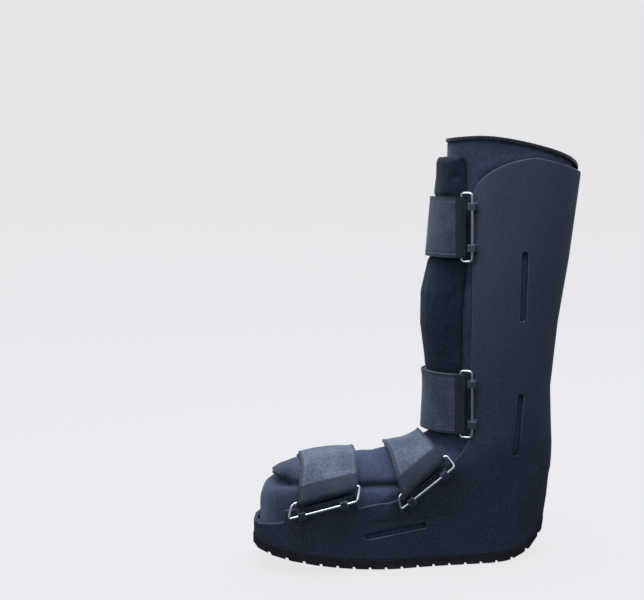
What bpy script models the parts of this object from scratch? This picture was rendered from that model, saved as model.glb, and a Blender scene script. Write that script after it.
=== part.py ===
"""Immobilizer boot: a tall walker with a moulded shell, padded liner and four closing straps.

Metres. +X points to the toe, +Y to the boot's left, +Z up. The origin is on the ground
under the middle of the sole.
"""
import math
from collections import namedtuple
from functools import lru_cache

import bmesh
import bpy
import numpy as np

# Overall sizes
BOOT_HEIGHT = 0.416
SOLE_LENGTH = 0.298
BALL_WIDTH = 0.112
CALF_WIDTH = 0.120

# Shell
SHELL_WALL = 0.0035
FLOOR_THICKNESS = 0.004
FIT_GAP = 0.0005
VENT_WIDTH = 0.0065
BACK_WINDOW_WIDTH = 0.028
BACK_WINDOW_HEIGHT = 0.050
BACK_WINDOW_REACH = 0.048
EAR_RISE = 0.005
EAR_END = 0.008
EAR_ROOT = 0.014
EAR_START_Y = 0.012

# Outsole
SOLE_THICKNESS = 0.0095
SOLE_LEDGE = 0.0008
SEAM_GAP = 0.0003
FLAT_BACK_X = -0.080
FLAT_FRONT_X = 0.012
HEEL_LIFT = 0.031
HEEL_CURVE = 2.6
TOE_LIFT = 0.0205
TOE_CURVE = 1.5
ROCKER_REACH = 0.54
TREAD_PITCH = 0.016
TREAD_GROOVE = 0.003
TREAD_DEPTH = 0.002

# Liner
LINER_THICKNESS = 0.008
INSOLE_THICKNESS = 0.007
DOME_START = 0.52
DOME_POWER = 2.2
DOME_LEAST_SIDE = 0.2
FOOT_CORNER = 0.12
FOOT_HEEL_GAP = 0.004
FOOT_TOE_GAP = 0.001
FOOT_END_WALL = 0.002
TOE_MOUTH_HEIGHT = 0.006
TOE_MOUTH_Z = 0.085
TOE_MOUTH_BACK_X = 0.119
TOE_MOUTH_RIGHT_Y = -0.016

# Shin panel
PANEL_THICKNESS = 0.0085
PANEL_EDGE = 0.003
PANEL_ROUNDING = 3
PANEL_BULGE = 0.0045
PANEL_BULGE_AT = 0.41
PANEL_BULGE_REACH = 0.26
PANEL_BELOW_STRAP = 0.0225
PANEL_TOP_DROP = 0.016
PANEL_REACH = 4
PANEL_SIDE_AHEAD = 0.00409

# Straps
STRAP_WIDTH = 0.058
STRAP_THICKNESS = 0.0024
STRAP_CLEARANCE = 0.0011
EDGE_RELIEF = 0.0009
EDGE_MARGIN = 0.0015
LAYER_GAP = 0.0005
TAIL_ROUNDING = 0.8
UPPER_STRAP_DROP = 0.085
LOWER_STRAP_SHARE = 5 / 13
SLOT_BEHIND = 0.04591
SLOT_LENGTH = 0.013
SLOT_MARGIN = 0.0015
SLOT_SETBACK = 0.003
STRAP_DIVE = 0.0021
STRAP_RAMP = 0.0085
FOLD_BLEND = 0.028
TAIL_AHEAD = 0.008
INSTEP_TAIL = 0.045
FOREFOOT_TAIL = 0.040

# Wire loops and their lugs
WIRE_RADIUS = 0.0015
WIRE_GAP = 0.0006
LOOP_DEPTH = 0.011
LOOP_OVERHANG = 0.0035
LOOP_CORNER = 0.003
CALF_LOOP_BEHIND = 0.00141
LUG_LENGTH = 0.007
LUG_DEPTH = 0.0075
LUG_COVER = 0.0016
LUG_SINK = 0.0018
LUG_PLACES = (0.16, 0.84)

# Eyelet rivets
RIVET_RADIUS = 0.0072
RIVET_HOLE_RADIUS = 0.0030
RIVET_BARREL_RADIUS = 0.0042
RIVET_FLANGE = 0.0011
RIVET_GAP = 0.00035

# Mesh fineness
OUTLINE_STEPS = 4
OUTLINE_POINTS = 17
EDGE_STEPS = 3
HEEL_STATIONS = 10
TOE_STATIONS = 12
STRAP_LINES = 5
BASE_STATIONS = 16
FOLD_STATIONS = 5
RETURN_STATIONS = 15
DOME_STATIONS = 6
WIRE_SIDES = 6
TRACK_POINTS = 300
TRACK_SMOOTHING = 8
TRACK_RUN_OUT = 0.12
SECTION_POINTS = 50
ROUND_SIDES = 16
SLOT_END_POINTS = 5
CORNER_POINTS = 4
TOP_SEARCH_SHARE = 0.5
TOP_SEARCH_STEPS = 400
SMOOTH_DEGREES = 35
STEEP_AXIS = 0.9

# Shares of BOOT_HEIGHT, of SOLE_LENGTH from the origin, and of CALF_WIDTH. foot says how
# far the plan outline is a foot's (1) or a calf's (0). The tray holds the foot, and the
# body starts inside it and rises round the ankle and calf.
Section = namedtuple("Section", "height back front width foot")
TRAY = (
    Section(-0.012, -0.470, 0.498, 0.780, 1.00),
    Section(0.072, -0.486, 0.498, 0.780, 1.00),
    Section(0.144, -0.502, 0.498, 0.780, 1.00),
    Section(0.222, -0.513, 0.498, 0.780, 1.00),
)
BODY = (
    Section(0.120, -0.487, 0.420, 0.740, 0.90),
    Section(0.216, -0.514, 0.200, 0.800, 0.50),
    Section(0.245, -0.516, 0.075, 0.805, 0.28),
    Section(0.272, -0.516, -0.008, 0.808, 0.15),
    Section(0.300, -0.514, -0.068, 0.810, 0.07),
    Section(0.330, -0.512, -0.102, 0.812, 0.00),
    Section(0.411, -0.508, -0.110, 0.825, 0.00),
    Section(0.488, -0.519, -0.111, 0.850, 0.00),
    Section(0.565, -0.530, -0.104, 0.883, 0.00),
    Section(0.642, -0.547, -0.106, 0.917, 0.00),
    Section(0.719, -0.564, -0.124, 0.950, 0.00),
    Section(0.911, -0.598, -0.141, 1.000, 0.00),
    Section(1.010, -0.611, -0.141, 1.008, 0.00),
)

# Half outlines from back to front: share of the depth, share of the half width.
PlanPoint = namedtuple("PlanPoint", "along across")
FOOT_PLAN = (
    PlanPoint(0.000, 0.00), PlanPoint(0.010, 0.30), PlanPoint(0.045, 0.57),
    PlanPoint(0.120, 0.76), PlanPoint(0.250, 0.81), PlanPoint(0.400, 0.82),
    PlanPoint(0.550, 0.89), PlanPoint(0.700, 0.985), PlanPoint(0.810, 0.985),
    PlanPoint(0.895, 0.90), PlanPoint(0.955, 0.69), PlanPoint(0.990, 0.37),
    PlanPoint(1.000, 0.00),
)
CALF_PLAN = (
    PlanPoint(0.000, 0.00), PlanPoint(0.020, 0.33), PlanPoint(0.080, 0.62),
    PlanPoint(0.180, 0.84), PlanPoint(0.300, 0.96), PlanPoint(0.420, 1.00),
    PlanPoint(0.550, 0.99), PlanPoint(0.680, 0.93), PlanPoint(0.800, 0.81),
    PlanPoint(0.890, 0.64), PlanPoint(0.955, 0.43), PlanPoint(0.990, 0.21),
    PlanPoint(1.000, 0.00),
)

# Side profiles: share of SOLE_LENGTH from the origin, share of BOOT_HEIGHT.
ProfilePoint = namedtuple("ProfilePoint", "along height")
SHELL_EDGE = (
    ProfilePoint(0.560, 0.098), ProfilePoint(0.490, 0.106), ProfilePoint(0.403, 0.123),
    ProfilePoint(0.134, 0.156), ProfilePoint(0.054, 0.163), ProfilePoint(-0.060, 0.205),
    ProfilePoint(-0.155, 0.257), ProfilePoint(-0.203, 0.320), ProfilePoint(-0.205, 0.450),
    ProfilePoint(-0.205, 0.820), ProfilePoint(-0.209, 0.875), ProfilePoint(-0.240, 0.911),
    ProfilePoint(-0.300, 0.937), ProfilePoint(-0.380, 0.952), ProfilePoint(-0.450, 0.947),
    ProfilePoint(-0.640, 0.912),
)
EDGE_FRONT_ROWS = 8
LINER_RIM = (
    ProfilePoint(-0.640, 0.920), ProfilePoint(-0.590, 0.932), ProfilePoint(-0.525, 0.957),
    ProfilePoint(-0.410, 0.981), ProfilePoint(-0.270, 1.000), ProfilePoint(-0.170, 1.000),
    ProfilePoint(-0.100, 0.992),
)
FOOT_TOP = (
    ProfilePoint(-0.470, 0.180), ProfilePoint(-0.200, 0.210), ProfilePoint(-0.034, 0.276),
    ProfilePoint(0.034, 0.272), ProfilePoint(0.117, 0.258), ProfilePoint(0.235, 0.257),
    ProfilePoint(0.319, 0.250), ProfilePoint(0.370, 0.241), ProfilePoint(0.403, 0.232),
    ProfilePoint(0.436, 0.214), ProfilePoint(0.463, 0.190), ProfilePoint(0.480, 0.162),
    ProfilePoint(0.490, 0.138),
)
VENTS = (
    (ProfilePoint(-0.368, 0.577), ProfilePoint(-0.370, 0.740)),
    (ProfilePoint(-0.352, 0.257), ProfilePoint(-0.369, 0.406)),
    (ProfilePoint(-0.056, 0.101), ProfilePoint(0.153, 0.082)),
)
BACK_WINDOWS = (ProfilePoint(-0.560, 0.720), ProfilePoint(-0.500, 0.400))

# Where the two foot straps start, cross the top and meet their loops, rear then front edge.
FootStrap = namedtuple("FootStrap", "name right top_x left tail rivet")
INSTEP = FootStrap(
    "instep",
    (ProfilePoint(-0.232, 0.178), ProfilePoint(-0.097, 0.106)),
    (-0.074, 0.054),
    (ProfilePoint(-0.136, 0.236), ProfilePoint(0.027, 0.152)),
    INSTEP_TAIL,
    0.22,
)
FOREFOOT = FootStrap(
    "forefoot",
    (ProfilePoint(0.178, 0.110), ProfilePoint(0.325, 0.104)),
    (0.165, 0.345),
    (ProfilePoint(0.192, 0.172), ProfilePoint(0.389, 0.140)),
    FOREFOOT_TAIL,
    0.16,
)

LINER_INSET = SHELL_WALL + FIT_GAP
BASE_LIFT = STRAP_CLEARANCE + STRAP_THICKNESS / 2
TAIL_LIFT = BASE_LIFT + STRAP_THICKNESS + LAYER_GAP
WIRE_LIFT = STRAP_CLEARANCE + STRAP_THICKNESS + WIRE_GAP + WIRE_RADIUS
FOLD_RADIUS = WIRE_RADIUS + WIRE_GAP + STRAP_THICKNESS / 2
FRONT_EDGE_X = SHELL_EDGE[EDGE_FRONT_ROWS].along * SOLE_LENGTH
CALF_LOOP_X = FRONT_EDGE_X - CALF_LOOP_BEHIND
SLOT_X = FRONT_EDGE_X - SLOT_BEHIND
CALF_TAIL_X = SLOT_X + TAIL_AHEAD
PANEL_SIDE_X = FRONT_EDGE_X + PANEL_SIDE_AHEAD
UPPER_STRAP_Z = BOOT_HEIGHT - UPPER_STRAP_DROP
LOWER_STRAP_Z = BOOT_HEIGHT * LOWER_STRAP_SHARE
PANEL_BOTTOM_Z = LOWER_STRAP_Z - PANEL_BELOW_STRAP
PANEL_TOP_Z = BOOT_HEIGHT - PANEL_TOP_DROP
FAR = 0.30
TINY = 0.0005


def profile(rows):
    """Turn a table of side profile shares into X and Z lengths."""
    return np.array([(row.along * SOLE_LENGTH, row.height * BOOT_HEIGHT) for row in rows])


def smooth(points, steps, mirrored=False):
    """Return a Catmull-Rom curve through the points, steps per stretch."""
    points = np.asarray(points, dtype=float)
    if mirrored:
        flip = np.array([1.0, -1.0])
        ahead, behind = points[1] * flip, points[-2] * flip
    else:
        ahead, behind = 2 * points[0] - points[1], 2 * points[-1] - points[-2]
    ring = np.vstack([ahead, points, behind])
    curve = []
    for k in range(1, len(ring) - 2):
        a, b, c, d = ring[k - 1:k + 3]
        for t in np.arange(steps) / steps:
            curve.append(0.5 * (2 * b + (c - a) * t + (2 * a - 5 * b + 4 * c - d) * t ** 2
                                + (3 * b - 3 * c + d - a) * t ** 3))
    curve.append(points[-1])
    return np.array(curve)


def resample(points, count):
    """Return evenly spaced points along an open line."""
    steps = np.linalg.norm(np.diff(points, axis=0), axis=1)
    length = np.concatenate([[0.0], np.cumsum(steps)])
    places = np.linspace(0.0, length[-1], count)
    return np.column_stack([np.interp(places, length, points[:, k]) for k in range(2)])


def half_outline(row):
    """Return the left half of the shell's outer plan outline at a section, back to front."""
    foot_plan = np.array(FOOT_PLAN) * (1.0, BALL_WIDTH / 2)
    calf_plan = np.array(CALF_PLAN) * (1.0, row.width * CALF_WIDTH / 2)
    plan = row.foot * foot_plan + (1 - row.foot) * calf_plan
    plan[:, 0] = (row.back + plan[:, 0] * (row.front - row.back)) * SOLE_LENGTH
    return resample(smooth(plan, OUTLINE_STEPS, mirrored=True), OUTLINE_POINTS)


def inset_loop(loop, distance):
    """Move a closed clockwise loop inwards, or outwards if the distance is negative."""
    before = loop - np.roll(loop, 1, axis=0)
    after = np.roll(loop, -1, axis=0) - loop
    before /= np.linalg.norm(before, axis=1)[:, None]
    after /= np.linalg.norm(after, axis=1)[:, None]
    normal = before[:, ::-1] * (1, -1)
    mean = normal + after[:, ::-1] * (1, -1)
    mean /= np.linalg.norm(mean, axis=1)[:, None]
    reach = distance / np.maximum(0.5, (mean * normal).sum(axis=1))
    return loop + mean * reach[:, None]


@lru_cache(maxsize=None)
def section_outlines(rows, inset):
    """Return the closed plan outlines of a table of sections, moved inwards by inset."""
    loops = []
    for row in rows:
        half = half_outline(row)
        other = half[-2:0:-1] * (1, -1)
        loops.append(inset_loop(np.vstack([half, other]), inset))
    return loops


def heights_of(rows):
    """Return the heights of a table of sections."""
    return [row.height * BOOT_HEIGHT for row in rows]


def between_rings(z, heights, loops):
    """Return the loop at a height on the flat faces between the rings, or None outside."""
    if not heights[0] <= z <= heights[-1]:
        return None
    above = min(max(int(np.searchsorted(heights, z)), 1), len(heights) - 1)
    share = (z - heights[above - 1]) / (heights[above] - heights[above - 1])
    return loops[above - 1] + (loops[above] - loops[above - 1]) * share


def outline_half_width(x, z, inset, rows):
    """Return half the width of a table of sections at a place, or 0 outside it."""
    loop = between_rings(z, heights_of(rows), section_outlines(rows, inset))
    if loop is None:
        return 0.0
    half = loop[:OUTLINE_POINTS]
    return float(np.interp(x, half[:, 0], half[:, 1], left=0.0, right=0.0))


def rocker_z(x):
    """Return the height of the ground side of the sole."""
    heel_x = TRAY[1].back * SOLE_LENGTH
    toe_x = TRAY[1].front * SOLE_LENGTH
    if x < FLAT_BACK_X:
        return HEEL_LIFT * ((FLAT_BACK_X - x) / (FLAT_BACK_X - heel_x)) ** HEEL_CURVE
    if x > FLAT_FRONT_X:
        return TOE_LIFT * ((x - FLAT_FRONT_X) / (toe_x - FLAT_FRONT_X)) ** TOE_CURVE
    return 0.0


def floor_z(x):
    """Return the height of the shell's inner floor."""
    return rocker_z(x) + SOLE_THICKNESS + FLOOR_THICKNESS


def rocker_stations():
    """Return places along the sole, with the ends of its flat stretch among them."""
    back = np.linspace(-SOLE_LENGTH * ROCKER_REACH, FLAT_BACK_X, HEEL_STATIONS)
    front = np.linspace(FLAT_FRONT_X, SOLE_LENGTH * ROCKER_REACH, TOE_STATIONS)
    return np.concatenate([back, front])


def foot_dome(x, inset):
    """Return half width, floor, start of the dome and top of the liner's foot at a place."""
    top_rows = profile(FOOT_TOP)
    bottom = floor_z(x) + FIT_GAP
    top = float(np.interp(x, top_rows[:, 0], top_rows[:, 1])) - inset
    half = outline_half_width(x, bottom, LINER_INSET + FIT_GAP + inset, TRAY)
    return half, bottom, bottom + DOME_START * (top + inset - bottom), top


def dome_half_width(x, z):
    """Return half the width of the liner's foot at a place, or 0 outside it."""
    half, bottom, start, top = foot_dome(x, 0.0)
    if z >= top or z < bottom or half <= 0:
        return 0.0
    rise = max(0.0, (z - start) / (top - start))
    return half * (1 - rise ** DOME_POWER) ** (1 / DOME_POWER)


def shell_half_width(x, z):
    """Return half the width of the shell's outside at a place, or 0 outside it."""
    return max(outline_half_width(x, z, 0.0, BODY), outline_half_width(x, z, 0.0, TRAY))


def shell_edge_z(x, left):
    """Return the height of the shell's edge over the foot, with its ears on the left."""
    edge = smooth(profile(SHELL_EDGE), EDGE_STEPS)
    rows = edge[:EDGE_FRONT_ROWS * EDGE_STEPS][::-1]
    if x < FRONT_EDGE_X:
        return FAR
    height = float(np.interp(x, rows[:, 0], rows[:, 1]))
    if left:
        for ear in (ear_profile(INSTEP), ear_profile(FOREFOOT)):
            if ear[1, 0] <= x <= ear[2, 0]:
                height = max(height, float(np.interp(x, ear[1:3, 0], ear[1:3, 1])))
    return height


def ear_profile(strap):
    """Return the side profile of the raised ear that carries a foot strap's loop."""
    rear, front = profile(strap.left)
    along = (front - rear) / np.linalg.norm(front - rear)
    up = np.array([-along[1], along[0]])
    rise = up * EAR_RISE
    reach = along * EAR_END
    sink = np.array([0.0, -EAR_ROOT])
    return np.array([rear - reach + sink, rear - reach / 2 + rise,
                     front + reach / 2 + rise, front + reach + sink])


def boot_half_width(x, z, left):
    """Return half the width of shell and liner together at a place."""
    width = max(dome_half_width(x, z), outline_half_width(x, z, LINER_INSET, BODY))
    if z < shell_edge_z(x, left) + EDGE_MARGIN:
        width = max(width, shell_half_width(x, z))
    return width + EDGE_RELIEF if width > 0 else 0.0


def boot_top_z(x):
    """Return the height of the liner's top line over the foot and instep."""
    heights = np.linspace(TOP_SEARCH_SHARE * BOOT_HEIGHT, 0.0, TOP_SEARCH_STEPS)
    for z in heights:
        if boot_half_width(x, z, False) > 0:
            return float(z)
    return 0.0


def panel_heights():
    """Return the heights of the shin panel's rings: its ends and the sections between."""
    between = [z for z in heights_of(BODY) if PANEL_BOTTOM_Z < z < PANEL_TOP_Z]
    return [PANEL_BOTTOM_Z, *between, PANEL_TOP_Z]


@lru_cache(maxsize=None)
def panel_rings():
    """Return the shin panel's inner and outer rings, each from left to right."""
    inner_rings, outer_rings = [], []
    front = OUTLINE_POINTS - 1
    for z in panel_heights():
        loop = between_rings(z, heights_of(BODY), section_outlines(BODY, LINER_INSET - FIT_GAP))
        inner = loop[front - PANEL_REACH:front + PANEL_REACH + 1]
        tangent = np.gradient(inner, axis=0)
        normal = tangent[:, ::-1] * (-1, 1)
        normal /= np.linalg.norm(normal, axis=1)[:, None]
        across = np.linspace(-1, 1, len(inner))
        rise = (z - PANEL_BOTTOM_Z) / (PANEL_TOP_Z - PANEL_BOTTOM_Z)
        off_bulge = min(1.0, abs(rise - PANEL_BULGE_AT) / PANEL_BULGE_REACH)
        middle = PANEL_THICKNESS + PANEL_BULGE * (1 - off_bulge ** 2)
        thickness = PANEL_EDGE + (middle - PANEL_EDGE) * (1 - np.abs(across) ** PANEL_ROUNDING)
        inner_rings.append(inner)
        outer_rings.append(inner + normal * thickness[:, None])
    return inner_rings, outer_rings


def new_object(name, verts, faces):
    """Make an object from vertices and faces, with its faces pointing out."""
    mesh = bpy.data.meshes.new(name)
    mesh.from_pydata([tuple(v) for v in verts], [], [tuple(f) for f in faces])
    body = bmesh.new()
    body.from_mesh(mesh)
    bmesh.ops.recalc_face_normals(body, faces=body.faces)
    body.to_mesh(mesh)
    body.free()
    thing = bpy.data.objects.new(name, mesh)
    bpy.context.collection.objects.link(thing)
    return thing


def loft(name, loops, ring=False, curved=True):
    """Join closed loops of equal length into a capped solid, or into a closed ring.

    On a curved loft the faces are triangles, so nested lofts bend along like diagonals.
    """
    count = len(loops[0])
    verts = [point for loop in loops for point in loop]
    faces = []
    last = len(loops) if ring else len(loops) - 1
    for k in range(last):
        a, b = k * count, (k + 1) % len(loops) * count
        for i in range(count):
            j = (i + 1) % count
            if curved:
                faces.append((a + i, a + j, b + j))
                faces.append((a + i, b + j, b + i))
            else:
                faces.append((a + i, a + j, b + j, b + i))
    if not ring:
        faces.append(range(count))
        faces.append(range(last * count, (last + 1) * count))
    return new_object(name, verts, faces)


def prism(name, side_profile, right_y, left_y):
    """Extrude a side profile across the boot."""
    loops = [[(x, y, z) for x, z in side_profile] for y in (right_y, left_y)]
    return loft(name, loops, curved=False)


def combine(target, tool, operation):
    """Apply a Boolean with the tool object to the target and delete the tool."""
    cut = target.modifiers.new(operation, "BOOLEAN")
    cut.operation = operation
    cut.solver = "EXACT"
    cut.object = tool
    graph = bpy.context.evaluated_depsgraph_get()
    mesh = bpy.data.meshes.new_from_object(target.evaluated_get(graph))
    target.modifiers.clear()
    target.data = mesh
    bpy.data.objects.remove(tool)
    return target


def section_solid(name, rows, inset):
    """Loft a solid through the plan outlines of a table of sections."""
    loops = []
    for z, loop in zip(heights_of(rows), section_outlines(rows, inset)):
        loops.append([(x, y, z) for x, y in loop])
    return loft(name, loops)


def boot_solid(name, inset):
    """Join the foot's tray and the body that rises from it."""
    return combine(section_solid(name, TRAY, inset), section_solid("body", BODY, inset), "UNION")


def foot_solid(name, inset, insole, ends):
    """Loft the liner's foot from cross sections between two places along the boot."""
    rows = profile(FOOT_TOP)[:, 0]
    loops = []
    for x in [ends[0], *rows[(rows > ends[0] + TINY) & (rows < ends[1] - TINY)], ends[1]]:
        half, bottom, start, top = foot_dome(x, inset)
        bottom += insole
        start = max(start, bottom + DOME_LEAST_SIDE * (top - bottom))
        side = []
        for step in range(DOME_STATIONS):
            angle = math.pi / 2 * step / DOME_STATIONS
            across = math.cos(angle) ** (2 / DOME_POWER)
            rise = math.sin(angle) ** (2 / DOME_POWER)
            side.append((half * across, start + (top - start) * rise))
        corner = min(half, top - bottom) * FOOT_CORNER
        left = [(half - corner, bottom), (half, bottom + corner)] + side
        right = [(-y, z) for y, z in reversed(left)]
        loops.append([(x, y, z) for y, z in left + [(0.0, top)] + right])
    return loft(name, loops)


def stadium(start, finish, width):
    """Return the outline of a slot with round ends between two points."""
    start, finish = np.array(start), np.array(finish)
    along = (finish - start) / np.linalg.norm(finish - start)
    across = np.array([-along[1], along[0]])
    points = []
    for centre, way in ((finish - along * width / 2, 1), (start + along * width / 2, -1)):
        for angle in np.linspace(math.pi / 2, -math.pi / 2, SLOT_END_POINTS):
            points.append(centre + way * width / 2
                          * (along * math.cos(angle) + across * math.sin(angle)))
    return points


def convex_hull(points):
    """Return the convex hull of 2D points, counter-clockwise."""
    ordered = sorted(map(tuple, points))
    chains = []
    for run in (ordered, ordered[::-1]):
        chain = []
        for point in run:
            while len(chain) > 1:
                (ax, ay), (bx, by) = chain[-2], chain[-1]
                if (bx - ax) * (point[1] - ay) - (by - ay) * (point[0] - ax) > 1e-12:
                    break
                chain.pop()
            chain.append(point)
        chains += chain[:-1]
    return np.array(chains)


class Track:
    """A line over the boot that a strap follows, from its right end to its loop on the left."""

    def __init__(self, section, start, finish, place):
        """Wrap the section's points, and keep the stretch from start to finish."""
        hull = convex_hull(section)
        hull = np.vstack([hull, hull, hull[:1]])
        length = np.concatenate([[0.0], np.cumsum(np.linalg.norm(np.diff(hull, axis=0), axis=1))])
        once = length[-1] / 2
        fine = np.linspace(0.0, once, TRACK_POINTS * 4, endpoint=False)
        ring = np.column_stack([np.interp(fine, length, hull[:, k]) for k in range(2)])
        first = fine[np.argmin(np.linalg.norm(ring - start, axis=1))]
        last = fine[np.argmin(np.linalg.norm(ring - finish, axis=1))]
        if last < first:
            last += once
        self.length = last - first
        self.places = np.linspace(0.0, self.length, TRACK_POINTS)
        self.points = np.column_stack(
            [np.interp(first + self.places, length, hull[:, k]) for k in range(2)])
        tangent = np.gradient(self.points, axis=0)
        for _ in range(TRACK_SMOOTHING):
            tangent[1:-1] = (tangent[:-2] + 2 * tangent[1:-1] + tangent[2:]) / 4
        normal = tangent[:, ::-1] * (1, -1)
        self.normals = normal / np.linalg.norm(normal, axis=1)[:, None]
        self.place = place

    def at(self, distance, lift):
        """Return the point at a distance along the line and a height over the boot."""
        inside = min(max(distance, 0.0), self.length)
        point, normal = (np.array([np.interp(inside, self.places, row[:, k]) for k in range(2)])
                         for row in (self.points, self.normals))
        along = np.array([-normal[1], normal[0]])
        return self.place(point + normal * lift + along * (distance - inside))

    def outward(self, distance):
        """Return the direction away from the boot at a distance along the line."""
        way = self.at(distance, TINY) - self.at(distance, 0.0)
        return way / np.linalg.norm(way)

    def onward(self, distance):
        """Return the direction in which the line runs at a distance along it."""
        way = self.at(distance + TINY, 0.0) - self.at(distance, 0.0)
        return way / np.linalg.norm(way)


def calf_tracks(centre_z):
    """Return a calf strap's lines, from its lower edge to its upper one."""
    tracks = []
    for z in centre_z + np.linspace(-0.5, 0.5, STRAP_LINES) * STRAP_WIDTH:
        shell = between_rings(z, heights_of(BODY), section_outlines(BODY, 0.0))
        shell = shell[shell[:, 0] <= FRONT_EDGE_X]
        edge_y = shell_half_width(FRONT_EDGE_X, z)
        corners = [(FRONT_EDGE_X, edge_y), (FRONT_EDGE_X, -edge_y)]
        liner = between_rings(z, heights_of(BODY), section_outlines(BODY, LINER_INSET))
        panel_z = min(max(z, PANEL_BOTTOM_Z), PANEL_TOP_Z)
        panel = between_rings(panel_z, panel_heights(), panel_rings()[1])
        section = [*shell, *corners, *liner, *panel]
        start = (SLOT_X, -shell_half_width(SLOT_X, z))
        finish = (CALF_LOOP_X, shell_half_width(CALF_LOOP_X, z))
        tracks.append(Track(section, start, finish,
                            lambda point, z=z: np.array([point[0], point[1], z])))
    return tracks


def foot_track(right, top_x, left):
    """Return one line of a foot strap, between points of the boot's side profile."""
    top = np.array([top_x, boot_top_z(top_x) + EDGE_RELIEF])
    right, left = np.array(right), np.array(left)
    lengths = {False: np.linalg.norm(top - right), True: np.linalg.norm(top - left)}
    up = (top - right) / lengths[False] + (top - left) / lengths[True]
    up /= np.linalg.norm(up)
    section = []
    for on_left, low in ((False, right), (True, left)):
        for share in np.linspace(-TRACK_RUN_OUT, 1.0, SECTION_POINTS):
            x, z = low + (top - low) * share
            y = boot_half_width(x, z, on_left) * (1 if on_left else -1)
            section.append(((share - 1) * lengths[on_left], y))

    def place(point):
        height, y = point
        if height > 0:
            x, z = top + up * height
        else:
            low = left if y > 0 else right
            x, z = top - (low - top) / lengths[y > 0] * height
        return np.array([x, y, z])

    start = (-lengths[False], -boot_half_width(*right, False))
    finish = (-lengths[True], boot_half_width(*left, True))
    return Track(section, start, finish, place)


def foot_tracks(strap):
    """Return a foot strap's lines, from its rear edge to its front one."""
    right, left = profile(strap.right), profile(strap.left)
    tracks = []
    for share in np.linspace(0, 1, STRAP_LINES):
        top_x = (strap.top_x[0] + (strap.top_x[1] - strap.top_x[0]) * share) * SOLE_LENGTH
        tracks.append(foot_track(right[0] + (right[1] - right[0]) * share, top_x,
                                 left[0] + (left[1] - left[0]) * share))
    return tracks


class Bar:
    """One straight side of a wire loop, clear of every line of its strap."""

    def __init__(self, tracks, back_off):
        """Lay the bar across the tracks, back_off before their ends."""
        points = [track.at(track.length - back_off, WIRE_LIFT) for track in tracks]
        middle = tracks[len(tracks) // 2]
        self.outward = middle.outward(middle.length - back_off)
        chord = np.linspace(points[0], points[-1], len(points))
        bulge = max(float(np.dot(p - c, self.outward)) for p, c in zip(points, chord))
        self.points = chord + self.outward * bulge
        self.lift = WIRE_LIFT + bulge
        along = self.points[-1] - self.points[0]
        self.along = along / np.linalg.norm(along)

    def ends(self):
        """Return the bar's two ends, just past the strap's edges."""
        return (self.points[0] - self.along * LOOP_OVERHANG,
                self.points[-1] + self.along * LOOP_OVERHANG)


def ease(share):
    """Return a smooth step from 0 to 1."""
    share = min(max(share, 0.0), 1.0)
    return share * share * (3 - 2 * share)


def strap_line(track, wire, dive, tail_end):
    """Return the points of one line of a strap: base, fold round the wire, and return."""
    fold_at = track.length - LOOP_DEPTH
    reach = wire - track.at(fold_at, 0.0)
    wire_lift = float(np.dot(reach, track.outward(fold_at)))
    fold_at += float(np.dot(reach, track.onward(fold_at)))
    line = []
    for distance in np.linspace(0.0, fold_at, BASE_STATIONS, endpoint=False):
        lift = BASE_LIFT
        if dive:
            lift += (-STRAP_DIVE - BASE_LIFT) * (1 - ease(distance / STRAP_RAMP))
        lift += (wire_lift - FOLD_RADIUS - BASE_LIFT) * ease(1 - (fold_at - distance) / FOLD_BLEND)
        line.append(track.at(distance, lift))
    for angle in np.linspace(0, math.pi, FOLD_STATIONS):
        line.append(track.at(fold_at + FOLD_RADIUS * math.sin(angle),
                             wire_lift - FOLD_RADIUS * math.cos(angle)))
    for distance in np.linspace(fold_at, tail_end, RETURN_STATIONS + 1)[1:]:
        lift = TAIL_LIFT + (wire_lift + FOLD_RADIUS - TAIL_LIFT) \
            * ease(1 - (fold_at - distance) / FOLD_BLEND)
        line.append(track.at(distance, lift))
    return line


def band(name, lines):
    """Make a strap of even thickness from its lines."""
    grid = np.array(lines)
    along = np.gradient(grid, axis=1)
    across = np.gradient(grid, axis=0)
    normal = np.cross(along, across)
    normal *= STRAP_THICKNESS / 2 / np.linalg.norm(normal, axis=2)[:, :, None]
    rows, columns = grid.shape[:2]
    verts = np.vstack([(grid + normal).reshape(-1, 3), (grid - normal).reshape(-1, 3)])
    under = rows * columns
    faces = []
    for r in range(rows - 1):
        for c in range(columns - 1):
            quad = [r * columns + c, r * columns + c + 1,
                    (r + 1) * columns + c + 1, (r + 1) * columns + c]
            faces.append(quad)
            faces.append([under + k for k in reversed(quad)])
    for c in range(columns - 1):
        for r in (0, rows - 1):
            a = r * columns + c
            faces.append([a, a + 1, under + a + 1, under + a])
    for r in range(rows - 1):
        for c in (0, columns - 1):
            a = r * columns + c
            faces.append([a, a + columns, under + a + columns, under + a])
    return new_object(name, verts, faces)


def make_strap(name, tracks, bar, dive, tail):
    """Make a strap over its tracks; tail gives each line's distance where the return ends."""
    lines = []
    places = np.linspace(-1, 1, STRAP_LINES)
    for track, wire, across, end in zip(tracks, bar.points, places, tail):
        rounding = STRAP_WIDTH / 2 * TAIL_ROUNDING * (1 - math.sqrt(1 - across ** 2))
        lines.append(strap_line(track, wire, dive, end + rounding))
    return band(name, lines)


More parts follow.
